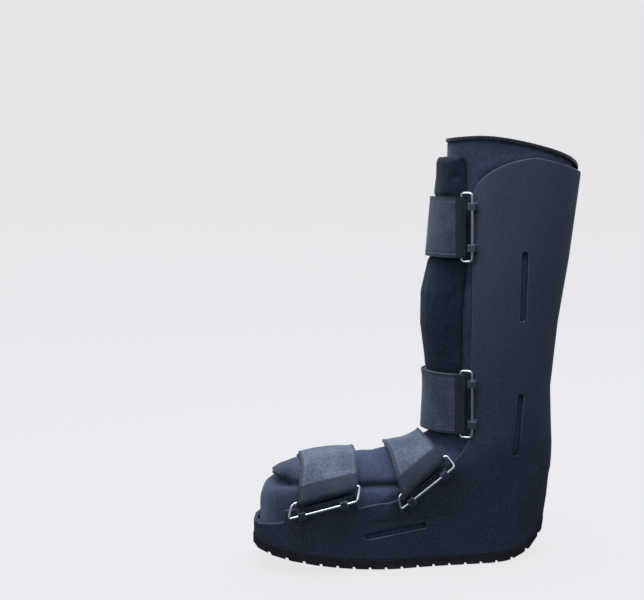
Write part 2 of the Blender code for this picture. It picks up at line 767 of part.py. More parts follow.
def make_loop(name, front_bar, rear_bar):
    """Make a rectangular wire loop with rounded corners through both bars' ends."""
    corners = [*front_bar.ends(), *reversed(rear_bar.ends())]
    path = []
    for k, corner in enumerate(corners):
        to_last = corners[k - 1] - corner
        to_next = corners[(k + 1) % 4] - corner
        to_last /= np.linalg.norm(to_last)
        to_next /= np.linalg.norm(to_next)
        centre = corner + (to_last + to_next) * LOOP_CORNER
        for angle in np.linspace(0, math.pi / 2, CORNER_POINTS):
            path.append(centre - LOOP_CORNER
                        * (to_next * math.cos(angle) + to_last * math.sin(angle)))
    path = np.array(path)
    middle = path.mean(axis=0)
    loops = []
    for k, point in enumerate(path):
        tangent = path[(k + 1) % len(path)] - path[k - 1]
        tangent /= np.linalg.norm(tangent)
        side = np.cross(tangent, np.cross(point - middle, tangent))
        side /= np.linalg.norm(side)
        lift = np.cross(tangent, side)
        loops.append([point + WIRE_RADIUS * (side * math.cos(angle) + lift * math.sin(angle))
                      for angle in np.arange(WIRE_SIDES) * 2 * math.pi / WIRE_SIDES])
    return loft(name, loops, ring=True)


def block(name, centre, axes, low, high):
    """Make a box about a centre, with its low and high reach along three axes."""
    loops = []
    for a in (low[0], high[0]):
        loop = []
        for b, c in ((low[1], low[2]), (high[1], low[2]), (high[1], high[2]), (low[1], high[2])):
            loop.append(centre + axes[0] * a + axes[1] * b + axes[2] * c)
        loops.append(loop)
    return loft(name, loops, curved=False)


def rod(name, centre, axis, radius, low, high):
    """Make a round rod about a centre along an axis."""
    axis = axis / np.linalg.norm(axis)
    side = np.cross(axis, (0.0, 0.0, 1.0) if abs(axis[2]) < STEEP_AXIS else (1.0, 0.0, 0.0))
    side /= np.linalg.norm(side)
    lift = np.cross(axis, side)
    loops = []
    for reach in (low, high):
        loops.append([centre + axis * reach
                      + radius * (side * math.cos(angle) + lift * math.sin(angle))
                      for angle in np.arange(ROUND_SIDES) * 2 * math.pi / ROUND_SIDES])
    return loft(name, loops, curved=False)


def add_lugs(shell, rear_bar):
    """Add the two moulded lugs that hold a loop's rear bar, each with its bore."""
    start, finish = rear_bar.points[0], rear_bar.points[-1]
    tangent = np.cross(rear_bar.along, rear_bar.outward)
    axes = (rear_bar.along, tangent, rear_bar.outward)
    half_depth = LUG_DEPTH / 2
    root = rear_bar.lift + LUG_SINK
    cap = WIRE_RADIUS + WIRE_GAP + LUG_COVER
    for place in LUG_PLACES:
        centre = start + (finish - start) * place
        lug = block("lug", centre, axes, (-LUG_LENGTH / 2, -half_depth, -root),
                    (LUG_LENGTH / 2, half_depth, cap))
        combine(shell, lug, "UNION")
        bore = rod("bore", centre, rear_bar.along, WIRE_RADIUS + WIRE_GAP,
                   -LUG_LENGTH, LUG_LENGTH)
        combine(shell, bore, "DIFFERENCE")


def make_rivet(name, surface, outward):
    """Make an eyelet: a flange over the strap and a barrel down to the shell's inner face."""
    side = np.cross(outward, (0.0, 0.0, 1.0))
    side /= np.linalg.norm(side)
    lift = np.cross(outward, side)
    face = BASE_LIFT + STRAP_THICKNESS / 2 + RIVET_GAP
    bottom = -SHELL_WALL + RIVET_GAP
    rings = (
        (RIVET_HOLE_RADIUS, bottom), (RIVET_BARREL_RADIUS, bottom), (RIVET_BARREL_RADIUS, face),
        (RIVET_RADIUS, face), (RIVET_RADIUS - RIVET_FLANGE / 2, face + RIVET_FLANGE),
        (RIVET_HOLE_RADIUS + RIVET_FLANGE / 2, face + RIVET_FLANGE), (RIVET_HOLE_RADIUS, face),
    )
    loops = []
    for radius, reach in rings:
        loops.append([surface + outward * reach
                      + radius * (side * math.cos(angle) + lift * math.sin(angle))
                      for angle in np.arange(ROUND_SIDES) * 2 * math.pi / ROUND_SIDES])
    return loft(name, loops, ring=True)


def make_shell():
    """Make the moulded shell without its slots and lugs."""
    shell = boot_solid("shell", 0.0)
    edge = smooth(profile(SHELL_EDGE), EDGE_STEPS)
    under = [(x, rocker_z(x) + SOLE_THICKNESS) for x in rocker_stations()]
    side = np.vstack([under, edge])
    form = prism("form", side, -FAR, FAR)
    for strap in (INSTEP, FOREFOOT):
        combine(form, prism("ear", ear_profile(strap), EAR_START_Y, FAR - EAR_ROOT), "UNION")
    combine(shell, form, "INTERSECT")
    hollow = boot_solid("hollow", SHELL_WALL)
    floor = [(x, floor_z(x)) for x in rocker_stations()]
    room = prism("room", floor + [(FAR, FAR * 2), (-FAR, FAR * 2)], -FAR, FAR)
    combine(hollow, room, "INTERSECT")
    return combine(shell, hollow, "DIFFERENCE")


def cut_vents(shell):
    """Cut the side vents, the back windows and the calf straps' slots."""
    for ends in VENTS:
        slot = stadium(*profile(ends), VENT_WIDTH)
        combine(shell, prism("vent", slot, -FAR, FAR), "DIFFERENCE")
    for centre_x, centre_z in profile(BACK_WINDOWS):
        low, high = centre_z - BACK_WINDOW_HEIGHT / 2, centre_z + BACK_WINDOW_HEIGHT / 2
        window = stadium((0.0, low), (0.0, high), BACK_WINDOW_WIDTH)
        ends = (centre_x - BACK_WINDOW_REACH, centre_x + BACK_WINDOW_REACH)
        loops = [[(x, y, z) for y, z in window] for x in ends]
        combine(shell, loft("window", loops, curved=False), "DIFFERENCE")
    for centre_z in (UPPER_STRAP_Z, LOWER_STRAP_Z):
        half = STRAP_WIDTH / 2 + SLOT_MARGIN
        back = SLOT_X - SLOT_SETBACK
        slot = [(back, centre_z - half), (back + SLOT_LENGTH, centre_z - half),
                (back + SLOT_LENGTH, centre_z + half), (back, centre_z + half)]
        combine(shell, prism("slot", slot, -FAR, 0.0), "DIFFERENCE")


def make_outsole():
    """Make the rubber rocker sole with its cross grooves."""
    sole = section_solid("outsole", TRAY, -SOLE_LEDGE)
    stations = rocker_stations()
    under = [(x, rocker_z(x)) for x in stations]
    top = [(x, rocker_z(x) + SOLE_THICKNESS - SEAM_GAP) for x in reversed(stations)]
    combine(sole, prism("band", under + top, -FAR, FAR), "INTERSECT")
    place = TREAD_PITCH / 2
    while place < SOLE_LENGTH / 2:
        for x in (place, -place):
            low = rocker_z(x) - SOLE_THICKNESS
            high = rocker_z(x) + TREAD_DEPTH
            groove = [(x - TREAD_GROOVE / 2, low), (x + TREAD_GROOVE / 2, low),
                      (x + TREAD_GROOVE / 2, high), (x - TREAD_GROOVE / 2, high)]
            combine(sole, prism("groove", groove, -FAR, FAR), "DIFFERENCE")
        place += TREAD_PITCH
    return sole


def make_liner():
    """Make the padded bootie: calf tube and foot, open at the rim and at the toe."""
    heel = TRAY[1].back * SOLE_LENGTH + LINER_INSET
    toe = TRAY[1].front * SOLE_LENGTH - LINER_INSET
    liner = section_solid("liner", BODY, LINER_INSET)
    combine(liner, foot_solid("foot", 0.0, 0.0, (heel + FOOT_HEEL_GAP, toe - FOOT_TOE_GAP)), "UNION")
    rim = [(-FAR, -FAR)] + [tuple(row) for row in smooth(profile(LINER_RIM), EDGE_STEPS)]
    rim += [(FAR, rim[-1][1]), (FAR, -FAR)]
    combine(liner, prism("rim", rim, -FAR, FAR), "INTERSECT")
    hollow = section_solid("hollow", BODY, LINER_INSET + LINER_THICKNESS)
    end_wall = LINER_THICKNESS + FOOT_END_WALL
    inner_ends = (heel + end_wall, toe - end_wall)
    foot = foot_solid("foot", LINER_THICKNESS, INSOLE_THICKNESS, inner_ends)
    combine(hollow, foot, "UNION")
    combine(liner, hollow, "DIFFERENCE")
    mouth = [(TOE_MOUTH_BACK_X, TOE_MOUTH_Z - TOE_MOUTH_HEIGHT / 2),
             (FAR, TOE_MOUTH_Z - TOE_MOUTH_HEIGHT / 2),
             (FAR, TOE_MOUTH_Z + TOE_MOUTH_HEIGHT / 2),
             (TOE_MOUTH_BACK_X, TOE_MOUTH_Z + TOE_MOUTH_HEIGHT / 2)]
    return combine(liner, prism("mouth", mouth, TOE_MOUTH_RIGHT_Y, FAR), "DIFFERENCE")


def make_shin_panel():
    """Make the padded panel over the front of the calf."""
    loops = []
    for z, inner, outer in zip(panel_heights(), *panel_rings()):
        loops.append([(x, y, z) for x, y in np.vstack([outer, inner[::-1]])])
    front = [(PANEL_SIDE_X, 0.0), (FAR, 0.0), (FAR, BOOT_HEIGHT), (PANEL_SIDE_X, BOOT_HEIGHT)]
    return combine(loft("shin_panel", loops), prism("front", front, -FAR, FAR), "INTERSECT")


def dress(thing, colour, roughness, metallic=0.0):
    """Give an object its own material and smooth shading."""
    material = bpy.data.materials.new(thing.name)
    material.use_nodes = True
    surface = material.node_tree.nodes["Principled BSDF"]
    surface.inputs["Base Color"].default_value = (*colour, 1.0)
    surface.inputs["Roughness"].default_value = roughness
    surface.inputs["Metallic"].default_value = metallic
    thing.data.materials.clear()
    thing.data.materials.append(material)
    thing.data.shade_smooth()
    thing.data.set_sharp_from_angle(angle=math.radians(SMOOTH_DEGREES))


def build_calf_strap(shell, name, centre_z):
    """Make a calf strap with its loop, and the loop's lugs on the shell."""
    tracks = calf_tracks(centre_z)
    front_bar, rear_bar = Bar(tracks, LOOP_DEPTH), Bar(tracks, 0.0)
    tail = []
    for track in tracks:
        right = track.points[:, 1] < 0
        share = np.interp(CALF_TAIL_X, track.points[right, 0], track.places[right])
        tail.append(float(share))
    strap = make_strap(f"strap_{name}", tracks, front_bar, True, tail)
    loop = make_loop(f"loop_{name}", front_bar, rear_bar)
    add_lugs(shell, rear_bar)
    return strap, loop


def build_foot_strap(shell, strap_plan):
    """Make a foot strap with its loop, rivet, and the holes and lugs for them."""
    tracks = foot_tracks(strap_plan)
    front_bar, rear_bar = Bar(tracks, LOOP_DEPTH), Bar(tracks, 0.0)
    tail = []
    for track in tracks:
        top = track.places[int(np.argmin(np.abs(track.points[:, 1])))]
        tail.append(float(top) - strap_plan.tail)
    strap = make_strap(f"strap_{strap_plan.name}", tracks, front_bar, False, tail)
    loop = make_loop(f"loop_{strap_plan.name}", front_bar, rear_bar)
    add_lugs(shell, rear_bar)
    middle = tracks[STRAP_LINES // 2]
    place = strap_plan.rivet * STRAP_WIDTH
    surface, outward = middle.at(place, 0.0), middle.outward(place)
    rivet = make_rivet(f"rivet_{strap_plan.name}", surface, outward)
    for thing in (strap, shell):
        hole = rod("hole", surface, outward, RIVET_BARREL_RADIUS + RIVET_GAP,
                   -SHELL_WALL - STRAP_THICKNESS, BASE_LIFT + STRAP_THICKNESS)
        combine(thing, hole, "DIFFERENCE")
    return strap, loop, rivet


def main():
    """Build the boot."""
    for thing in list(bpy.data.objects):
        bpy.data.objects.remove(thing)
    shell = make_shell()
    cut_vents(shell)
    straps, wires = [], []
    for name, centre_z in (("calf_upper", UPPER_STRAP_Z), ("calf_lower", LOWER_STRAP_Z)):
        strap, loop = build_calf_strap(shell, name, centre_z)
        straps.append(strap)
        wires.append(loop)
    for plan in (INSTEP, FOREFOOT):
        strap, loop, rivet = build_foot_strap(shell, plan)
        straps.append(strap)
        wires += [loop, rivet]
    dress(shell, (0.030, 0.036, 0.046), 0.55)
    dress(make_outsole(), (0.012, 0.012, 0.015), 0.8)
    dress(make_liner(), (0.045, 0.048, 0.075), 0.9)
    dress(make_shin_panel(), (0.035, 0.045, 0.065), 0.9)
    for strap in straps:
        dress(strap, (0.12, 0.15, 0.19), 0.85)
    for wire in wires:
        dress(wire, (0.72, 0.73, 0.75), 0.25, 1.0)


if __name__ == "__main__":
    main()
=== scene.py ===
"""Immobilizer boot: finishes, padded liner, straps, wire loops and the studio.

Metres, in the frame of the part: +X points to the toe, +Y to the boot's left and +Z up.
"""
import logging
import math
from collections.abc import Callable
from dataclasses import dataclass
from enum import Enum

import bmesh
import bpy
import numpy as np
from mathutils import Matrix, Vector
from mathutils.bvhtree import BVHTree
from mathutils.kdtree import KDTree


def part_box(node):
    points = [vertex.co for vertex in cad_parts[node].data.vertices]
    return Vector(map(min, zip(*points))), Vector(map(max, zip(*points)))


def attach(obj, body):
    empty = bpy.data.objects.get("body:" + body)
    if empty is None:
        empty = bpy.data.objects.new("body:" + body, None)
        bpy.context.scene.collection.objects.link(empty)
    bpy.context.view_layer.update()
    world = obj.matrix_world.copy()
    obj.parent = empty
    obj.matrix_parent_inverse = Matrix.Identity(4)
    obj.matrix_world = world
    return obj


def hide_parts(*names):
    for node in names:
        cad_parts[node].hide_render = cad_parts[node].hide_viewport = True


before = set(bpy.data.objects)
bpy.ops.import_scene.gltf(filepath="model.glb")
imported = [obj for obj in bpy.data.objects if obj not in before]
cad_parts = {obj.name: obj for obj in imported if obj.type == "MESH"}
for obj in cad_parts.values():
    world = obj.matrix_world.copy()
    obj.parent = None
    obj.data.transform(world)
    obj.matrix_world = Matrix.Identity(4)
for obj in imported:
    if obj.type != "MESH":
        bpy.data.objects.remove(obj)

LOG = logging.getLogger("boot")
BODY = "root"
MERGE_DISTANCE = 1e-5
TINY = 1e-9
MIDDLE = 0.5

Colour = tuple[float, float, float]
Piece = bpy.types.Object


class Slot(Enum):
    """The record's material slots."""

    SHELL = "shell_plastic"
    SOLE = "sole_rubber"
    LINER = "liner_fabric"
    PANEL = "panel_fabric"
    STRAP = "strap_webbing"
    WIRE = "wire"


class Bench:
    """Blender's modelling tools, used as a maker uses them by hand."""

    @staticmethod
    def only(*things: Piece) -> None:
        """Select these objects alone and make the last one active."""
        bpy.ops.object.select_all(action="DESELECT")
        for thing in things:
            thing.select_set(True)
        bpy.context.view_layer.objects.active = things[-1]

    @staticmethod
    def edit(piece: Piece, mode: str = "EDGE") -> None:
        """Open a piece in edit mode with nothing selected."""
        Bench.only(piece)
        bpy.ops.object.mode_set(mode="EDIT")
        bpy.ops.mesh.select_mode(type=mode)
        bpy.ops.mesh.select_all(action="DESELECT")

    @staticmethod
    def close() -> None:
        """Leave edit mode."""
        bpy.ops.object.mode_set(mode="OBJECT")

    @staticmethod
    def copy_node(node: str, name: str) -> Piece:
        """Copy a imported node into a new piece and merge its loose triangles.

        Args:
            node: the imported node's name.
            name: the new piece's name.

        Returns:
            The new piece, without a material.
        """
        piece = bpy.data.objects.new(name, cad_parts[node].data.copy())
        piece.data.materials.clear()
        bpy.context.scene.collection.objects.link(piece)
        Bench.only(piece)
        bpy.ops.mesh.customdata_custom_splitnormals_clear()
        Bench.edit(piece)
        bpy.ops.mesh.select_all(action="SELECT")
        bpy.ops.mesh.remove_doubles(threshold=MERGE_DISTANCE)
        Bench.close()
        return piece

    @staticmethod
    def apply(piece: Piece, kind: str, **settings: object) -> None:
        """Add a modifier with these settings and apply it."""
        modifier = piece.modifiers.new(kind.title(), kind)
        for key, value in settings.items():
            setattr(modifier, key, value)
        Bench.only(piece)
        bpy.ops.object.modifier_apply(modifier=modifier.name)

    @staticmethod
    def smooth(piece: Piece, degrees: float) -> None:
        """Shade a piece smooth, with edges sharper than the angle left sharp."""
        Bench.only(piece)
        bpy.ops.object.shade_smooth_by_angle(angle=math.radians(degrees))

    @staticmethod
    def points(piece: Piece) -> np.ndarray:
        """Return a piece's vertex places as rows of X, Y and Z."""
        flat = np.empty(len(piece.data.vertices) * 3)
        piece.data.vertices.foreach_get("co", flat)
        return flat.reshape(-1, 3)

    @staticmethod
    def normals(piece: Piece) -> np.ndarray:
        """Return a piece's vertex normals as rows of X, Y and Z."""
        flat = np.empty(len(piece.data.vertices) * 3)
        piece.data.vertices.foreach_get("normal", flat)
        return flat.reshape(-1, 3)

    @staticmethod
    def step(values: np.ndarray, start: float, end: float) -> np.ndarray:
        """Return 0 up to the start, 1 from the end on and a straight run between."""
        return np.clip((values - start) / (end - start), 0.0, 1.0)

    @staticmethod
    def tree(node: str) -> BVHTree:
        """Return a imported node's faces as a search tree."""
        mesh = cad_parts[node].data
        places = [vertex.co for vertex in mesh.vertices]
        return BVHTree.FromPolygons(places, [face.vertices for face in mesh.polygons])

    @staticmethod
    def put(piece: Piece, points: np.ndarray) -> None:
        """Move a piece's vertices to these places."""
        piece.data.vertices.foreach_set("co", points.ravel())
        piece.data.update()

    @staticmethod
    def fasten(piece: Piece, slot: Slot, materials: list[bpy.types.Material],
               replaced: str | None = None) -> None:
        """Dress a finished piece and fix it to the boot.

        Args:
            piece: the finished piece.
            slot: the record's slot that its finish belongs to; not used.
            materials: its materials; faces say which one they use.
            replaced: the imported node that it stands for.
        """
        for material in materials:
            piece.data.materials.append(material)
        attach(piece, BODY)
        if replaced:
            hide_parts(replaced)
        LOG.info("%s: %d faces", piece.name, len(piece.data.polygons))


class Value:
    """A node socket that takes part in Python arithmetic."""

    def __init__(self, kit: "Recipe", socket: bpy.types.NodeSocket) -> None:
        """Wrap an output socket of a recipe's nodes."""
        self.kit = kit
        self.socket = socket

    def _math(self, operation: str, *values: object) -> "Value":
        """Add a Math node over these values."""
        return self.kit.node("ShaderNodeMath", {"operation": operation}, *values)

    def __add__(self, other: object) -> "Value":
        """Add."""
        return self._math("ADD", self, other)

    def __sub__(self, other: object) -> "Value":
        """Subtract."""
        return self._math("SUBTRACT", self, other)

    def __mul__(self, other: object) -> "Value":
        """Multiply."""
        return self._math("MULTIPLY", self, other)

    def __radd__(self, other: object) -> "Value":
        """Add to a number on the left."""
        return self._math("ADD", other, self)

    def __rsub__(self, other: object) -> "Value":
        """Subtract from a number on the left."""
        return self._math("SUBTRACT", other, self)

    def __abs__(self) -> "Value":
        """Return the size without its sign."""
        return self._math("ABSOLUTE", self)


@dataclass(frozen=True)
class Grain:
    """Soft noise: its waves per metre, its detail and how rough the detail is."""

    scale: float
    detail: float = 2.0
    roughness: float = 0.5


class Recipe:
    """A material's node tree, built through one node-making method."""

    OBJECT_OUTPUT = 3
    NUMBER_OUTPUT = 2
    FLAT_NORMAL_OUTPUT = 1
    DOT_OUTPUT = 1
    COLOUR_OUTPUT = 2
    COLOUR_INPUTS = (6, 7)
    BEVEL_SAMPLES = 6
    # Dot range over which a rounded normal turns into a painted edge highlight.
    EDGE_HIGHLIGHT_RANGE = (0.99, 0.82)

    def __init__(self, name: str) -> None:
        """Start a material with a plain Principled surface."""
        self.material = bpy.data.materials.new(name)
        self.material.use_nodes = True
        self.tree = self.material.node_tree
        self.shader = self.tree.nodes["Principled BSDF"]

    def node(self, kind: str, settings: dict[str, object] | None = None, *values: object,
             output: int = 0, **named: object) -> Value:
        """Add a node.

        Args:
            kind: the node's type.
            settings: its own settings, set before its sockets.
            values: what goes into its first sockets, in order.
            output: which output is returned.
            named: what goes into sockets by name, with _ for a space.

        Returns:
            The chosen output.
        """
        made = self.tree.nodes.new(kind)
        for key, value in (settings or {}).items():
            setattr(made, key, value)
        for index, value in enumerate(values):
            self.feed(made.inputs[index], value)
        for key, value in named.items():
            self.feed(made.inputs[key.replace("_", " ")], value)
        return Value(self, made.outputs[output])

    def feed(self, socket: bpy.types.NodeSocket, value: object) -> None:
        """Link a value to a socket, or set a plain number or colour on it."""
        if isinstance(value, Value):
            self.tree.links.new(value.socket, socket)
        elif value is not None:
            socket.default_value = value

    def surface(self, **inputs: object) -> bpy.types.Material:
        """Feed the Principled surface by socket name and return the material."""
        for key, value in inputs.items():
            self.feed(self.shader.inputs[key.replace("_", " ")], value)
        return self.material

    def place(self) -> Value:
        """Return the place on the object."""
        return self.node("ShaderNodeTexCoord", output=self.OBJECT_OUTPUT)

    def axes(self, place: Value) -> tuple[Value, Value, Value]:
        """Return a place's X, Y and Z."""
        split = self.node("ShaderNodeSeparateXYZ", None, place)
        outputs = split.socket.node.outputs
        return Value(self, outputs[0]), Value(self, outputs[1]), Value(self, outputs[2])

    def attribute(self, name: str) -> Value:
        """Return a number stored on the mesh."""
        return self.node("ShaderNodeAttribute", {"attribute_name": name},
                         output=self.NUMBER_OUTPUT)

    def noise(self, place: Value, grain: Grain) -> Value:
        """Return soft noise from 0 to 1."""
        return self.node("ShaderNodeTexNoise", None, Vector=place, Scale=grain.scale,
                         Detail=grain.detail, Roughness=grain.roughness)

    def sine(self, angle: Value) -> Value:
        """Return the sine of an angle in radians."""
        return self.node("ShaderNodeMath", {"operation": "SINE"}, angle)

    def cells(self, place: Value, scale: float) -> Value:
        """Return the distance to scattered points; scale is in points per metre."""
        return self.node("ShaderNodeTexVoronoi", None, Vector=place, Scale=scale)

    def ramp(self, value: Value, low: float, high: float, start: float = 0.0,
             end: float = 1.0) -> Value:
        """Return a smooth step from start to end as a value goes from low to high."""
        return self.node("ShaderNodeMapRange", {"interpolation_type": "SMOOTHSTEP"}, value,
                         low, high, start, end)

    def line(self, value: Value, centre: object, width: float) -> Value:
        """Return 1 where a value is at the centre, falling to 0 a width away."""
        return self.ramp(abs(value - centre), width, 0.0)

    def mix(self, share: object, first: object, second: object) -> Value:
        """Blend two colours."""
        mixed = self.node("ShaderNodeMix", {"data_type": "RGBA"}, share,
                          output=self.COLOUR_OUTPUT)
        inputs = mixed.socket.node.inputs
        for index, value in zip(self.COLOUR_INPUTS, (first, second)):
            self.feed(inputs[index], value if isinstance(value, Value) else (*value, 1.0))
        return mixed

    def bump(self, height: Value, depth: float, strength: float = 1.0,
             normal: Value | None = None) -> Value:
        """Return a normal that is raised by a height from 0 to 1 times a depth."""
        return self.node("ShaderNodeBump", None, Height=height, Distance=depth,
                         Strength=strength, Normal=normal)

    def rounded(self, radius: float) -> Value:
        """Return a normal that rounds edges off."""
        return self.node("ShaderNodeBevel", {"samples": self.BEVEL_SAMPLES}, Radius=radius)

    def edge_highlight_mask(self, normal: Value) -> Value:
        """Return how far a rounded normal leans away from the flat one, which places the painted
        edge highlights.
        """
        flat = self.node("ShaderNodeNewGeometry", output=self.FLAT_NORMAL_OUTPUT)
        along = self.node("ShaderNodeVectorMath", {"operation": "DOT_PRODUCT"}, normal, flat,
                          output=self.DOT_OUTPUT)
        return self.ramp(along, *self.EDGE_HIGHLIGHT_RANGE)


@dataclass(frozen=True)
class MouldedPlastic:
    """Grained shell plastic, with painted shade that darkens it towards the bottom and painted
    highlights along its edges.
    """

    name: str
    # top and bottom: the lit and shaded ends of the painted height shade.
    top: Colour
    bottom: Colour
    # Pale colour of the grain's flecks, and of the painted highlights along edges.
    fleck_and_highlight: Colour
    roughness: float = 0.46
    cloud_gloss: float = 0.14
    scuff_gloss: float = 0.05
    specular: float = 0.42
    edge_radius: float = 0.0016
    low_z: float = 0.02
    high_z: float = 0.33
    painted_height_shade: float = 0.85
    cloud_share: float = 0.45
    speckle_share: float = 0.3
    edge_highlight_share: float = 0.55
    scuff_highlight_share: float = 0.4
    pit_share: float = 0.6
    fine_share: float = 0.4
    grain_depth: float = 0.00022
    grain_strength: float = 0.55

    CLOUD = Grain(14.0, 3.0)
    SPECKLE = Grain(900.0, 3.0, 0.7)
    SCUFF = Grain(70.0, 4.0, 0.7)
    FINE = Grain(2100.0)
    PITS = 1100.0
    SPECKLE_RANGE = (0.45, 0.75)
    SCUFF_RANGE = (0.35, 0.7)
    FOOT_START = (-0.07, -0.03)
    CALF_START = (0.11, 0.14)

    def material(self) -> bpy.types.Material:
        """Return the material."""
        kit = Recipe(self.name)
        place = kit.place()
        x, _, height = kit.axes(place)
        cloud = kit.noise(place, self.CLOUD) - MIDDLE
        # Painted shade: lighter high up and darker low down, as the overhead light falls off
        # down the sides.
        tone = kit.ramp(height, self.low_z, self.high_z) * self.painted_height_shade
        body = kit.mix(tone + cloud * self.cloud_share, self.bottom, self.top)
        speckle = kit.ramp(kit.noise(place, self.SPECKLE), *self.SPECKLE_RANGE)
        body = kit.mix(speckle * self.speckle_share, body, self.fleck_and_highlight)
        soft = kit.rounded(self.edge_radius)
        scuff = kit.ramp(kit.noise(place, self.SCUFF), *self.SCUFF_RANGE)
        foot = kit.ramp(x, *self.FOOT_START)
        calf = kit.ramp(height, *self.CALF_START)
        # Painted highlight: edges lighten as if catching the light, more where the scuff noise
        # is high, except low on the heel.
        painted_edge_highlight = kit.edge_highlight_mask(soft) * (self.edge_highlight_share + scuff * self.scuff_highlight_share)
        painted_edge_highlight = painted_edge_highlight * (foot + calf - foot * calf)
        pits = kit.cells(place, self.PITS) * self.pit_share
        grain = pits + kit.noise(place, self.FINE) * self.fine_share
        return kit.surface(
            Base_Color=kit.mix(painted_edge_highlight, body, self.fleck_and_highlight),
            Roughness=self.roughness + cloud * self.cloud_gloss + scuff * self.scuff_gloss,
            Normal=kit.bump(grain, self.grain_depth, self.grain_strength, soft),
            Specular_IOR_Level=self.specular,
        )


@dataclass(frozen=True)
class TreadRubber:
    """Matt rubber with dust where it meets the ground."""

    name: str
    colour: Colour
    dust: Colour
    roughness: float = 0.72
    grit_gloss: float = 0.2
    specular: float = 0.35
    edge_radius: float = 0.0008
    dust_top: float = 0.006
    patch_dust: float = 0.25
    ground_dust: float = 0.4
    grit_depth: float = 0.0003
    grit_strength: float = 0.5

    GRIT = Grain(420.0, 4.0, 0.7)
    PATCH = Grain(60.0, 3.0)
    GRIT_RANGE = (0.3, 0.7)
    PATCH_RANGE = (0.4, 0.7)

    def material(self) -> bpy.types.Material:
        """Return the material."""
        kit = Recipe(self.name)
        place = kit.place()
        height = kit.axes(place)[2]
        grit = kit.noise(place, self.GRIT)
        low = kit.ramp(height, self.dust_top, 0.0)
        patch = kit.ramp(kit.noise(place, self.PATCH), *self.PATCH_RANGE)
        dusty = patch * self.patch_dust + low * self.ground_dust
        dusty = dusty * kit.ramp(grit, *self.GRIT_RANGE)
        soft = kit.rounded(self.edge_radius)
        return kit.surface(
            Base_Color=kit.mix(dusty, self.colour, self.dust),
            Roughness=self.roughness + (grit - MIDDLE) * self.grit_gloss,
            Normal=kit.bump(grit, self.grit_depth, self.grit_strength, soft),
            Specular_IOR_Level=self.specular,
        )


@dataclass(frozen=True)
class FlapEdge:
    """The line where the liner's top flap ends round the foot, at a height that changes along
    the boot.
    """

    height: float
    toe_height: float
    back_x: float
    toe_x: float
    width: float

    def z_at(self, x: np.ndarray) -> np.ndarray:
        """Return the seam's height at places along the boot."""
        share = Bench.step(x, self.back_x, self.toe_x)
        share = share * share * (3 - 2 * share)
        return self.height + (self.toe_height - self.height) * share

    def mask(self, kit: Recipe, x: Value, z: Value) -> Value:
        """Return 1 on the flap's edge, falling to 0 beside it; the cloth paints shadow along it.
        """
        centre = kit.ramp(x, self.back_x, self.toe_x, self.height, self.toe_height)
        return kit.line(z, centre, self.width)


@dataclass(frozen=True)
class BrushedCloth:
    """Napped cloth over foam, with fibre mottling and, where given, painted shadow under the
    flap's edge on the left.
    """

    name: str
    dark: Colour
    light: Colour
    flap_shadow_line: FlapEdge | None = None
    sheen: float = 0.35
    sheen_roughness: float = 0.55
    sheen_tint: tuple[float, ...] = (0.62, 0.68, 0.80, 1.0)
    roughness: float = 0.86
    felt_gloss: float = 0.12
    specular: float = 0.25
    nap: float = 0.0005
    nap_strength: float = 0.7
    fibre_share: float = 0.45
    felt_share: float = 0.35
    cloud_share: float = 0.3
    deep_share: float = 0.22
    flap_shadow_share: float = 0.92
    raw_shade: float = 0.55
    raw_fibres: float = 0.4
    raw_top: float = 0.0905

    FIBRE = Grain(950.0, 3.0, 0.75)
    FELT = Grain(240.0, 3.0, 0.65)
    CLOUD = Grain(22.0)
    TONE_RANGE = (0.4, 0.72)
    LEFT_START = (0.0, 0.02)
    SHADOW_START = (-0.02, 0.0)
    RAW_START = (0.104, 0.120)
    RAW_RANGE = (0.4, 0.6)

    def material(self) -> bpy.types.Material:
        """Return the material."""
        kit = Recipe(self.name)
        place = kit.place()
        fibre = kit.noise(place, self.FIBRE)
        felt = kit.noise(place, self.FELT)
        cloud = kit.noise(place, self.CLOUD)
        tone = fibre * self.fibre_share + felt * self.felt_share + cloud * self.cloud_share
        colour = kit.mix(kit.ramp(tone, *self.TONE_RANGE), self.dark, self.light)
        if self.flap_shadow_line:
            colour = self._darken_flap(kit, place, fibre, colour)
        relief = fibre * MIDDLE + felt * MIDDLE
        return kit.surface(
            Base_Color=colour,
            Roughness=self.roughness + (felt - MIDDLE) * self.felt_gloss,
            Normal=kit.bump(relief, self.nap, self.nap_strength),
            Sheen_Weight=self.sheen,
            Sheen_Roughness=self.sheen_roughness,
            Sheen_Tint=self.sheen_tint,
            Specular_IOR_Level=self.specular,
        )

    def _darken_flap(self, kit: Recipe, place: Value, fibre: Value, colour: Value) -> Value:
        """Paint shadow along the flap's edge and darken the flap's raw end above it.

        Args:
            kit: the material's recipe.
            place: the place on the object.
            fibre: the fibres' noise.
            colour: the cloth's colour.

        Returns:
            The colour with both shades.
        """
        x, y, z = kit.axes(place)
        deep = tuple(share * self.deep_share for share in self.dark)
        # Painted shadow: a dark line on the left side just under the flap's edge, where the flap
        # overhangs the side wall.
        shade = self.flap_shadow_line.mask(kit, x, z) * kit.ramp(y, *self.LEFT_START)
        shade = shade * kit.ramp(x, *self.SHADOW_START)
        colour = kit.mix(shade * self.flap_shadow_share, colour, deep)
        raw_end = kit.ramp(x, *self.RAW_START) * kit.ramp(z, self.flap_shadow_line.toe_height, self.raw_top)
        patches = kit.ramp(fibre, *self.RAW_RANGE) * self.raw_fibres
        return kit.mix(raw_end * (self.raw_shade + patches), colour, deep)


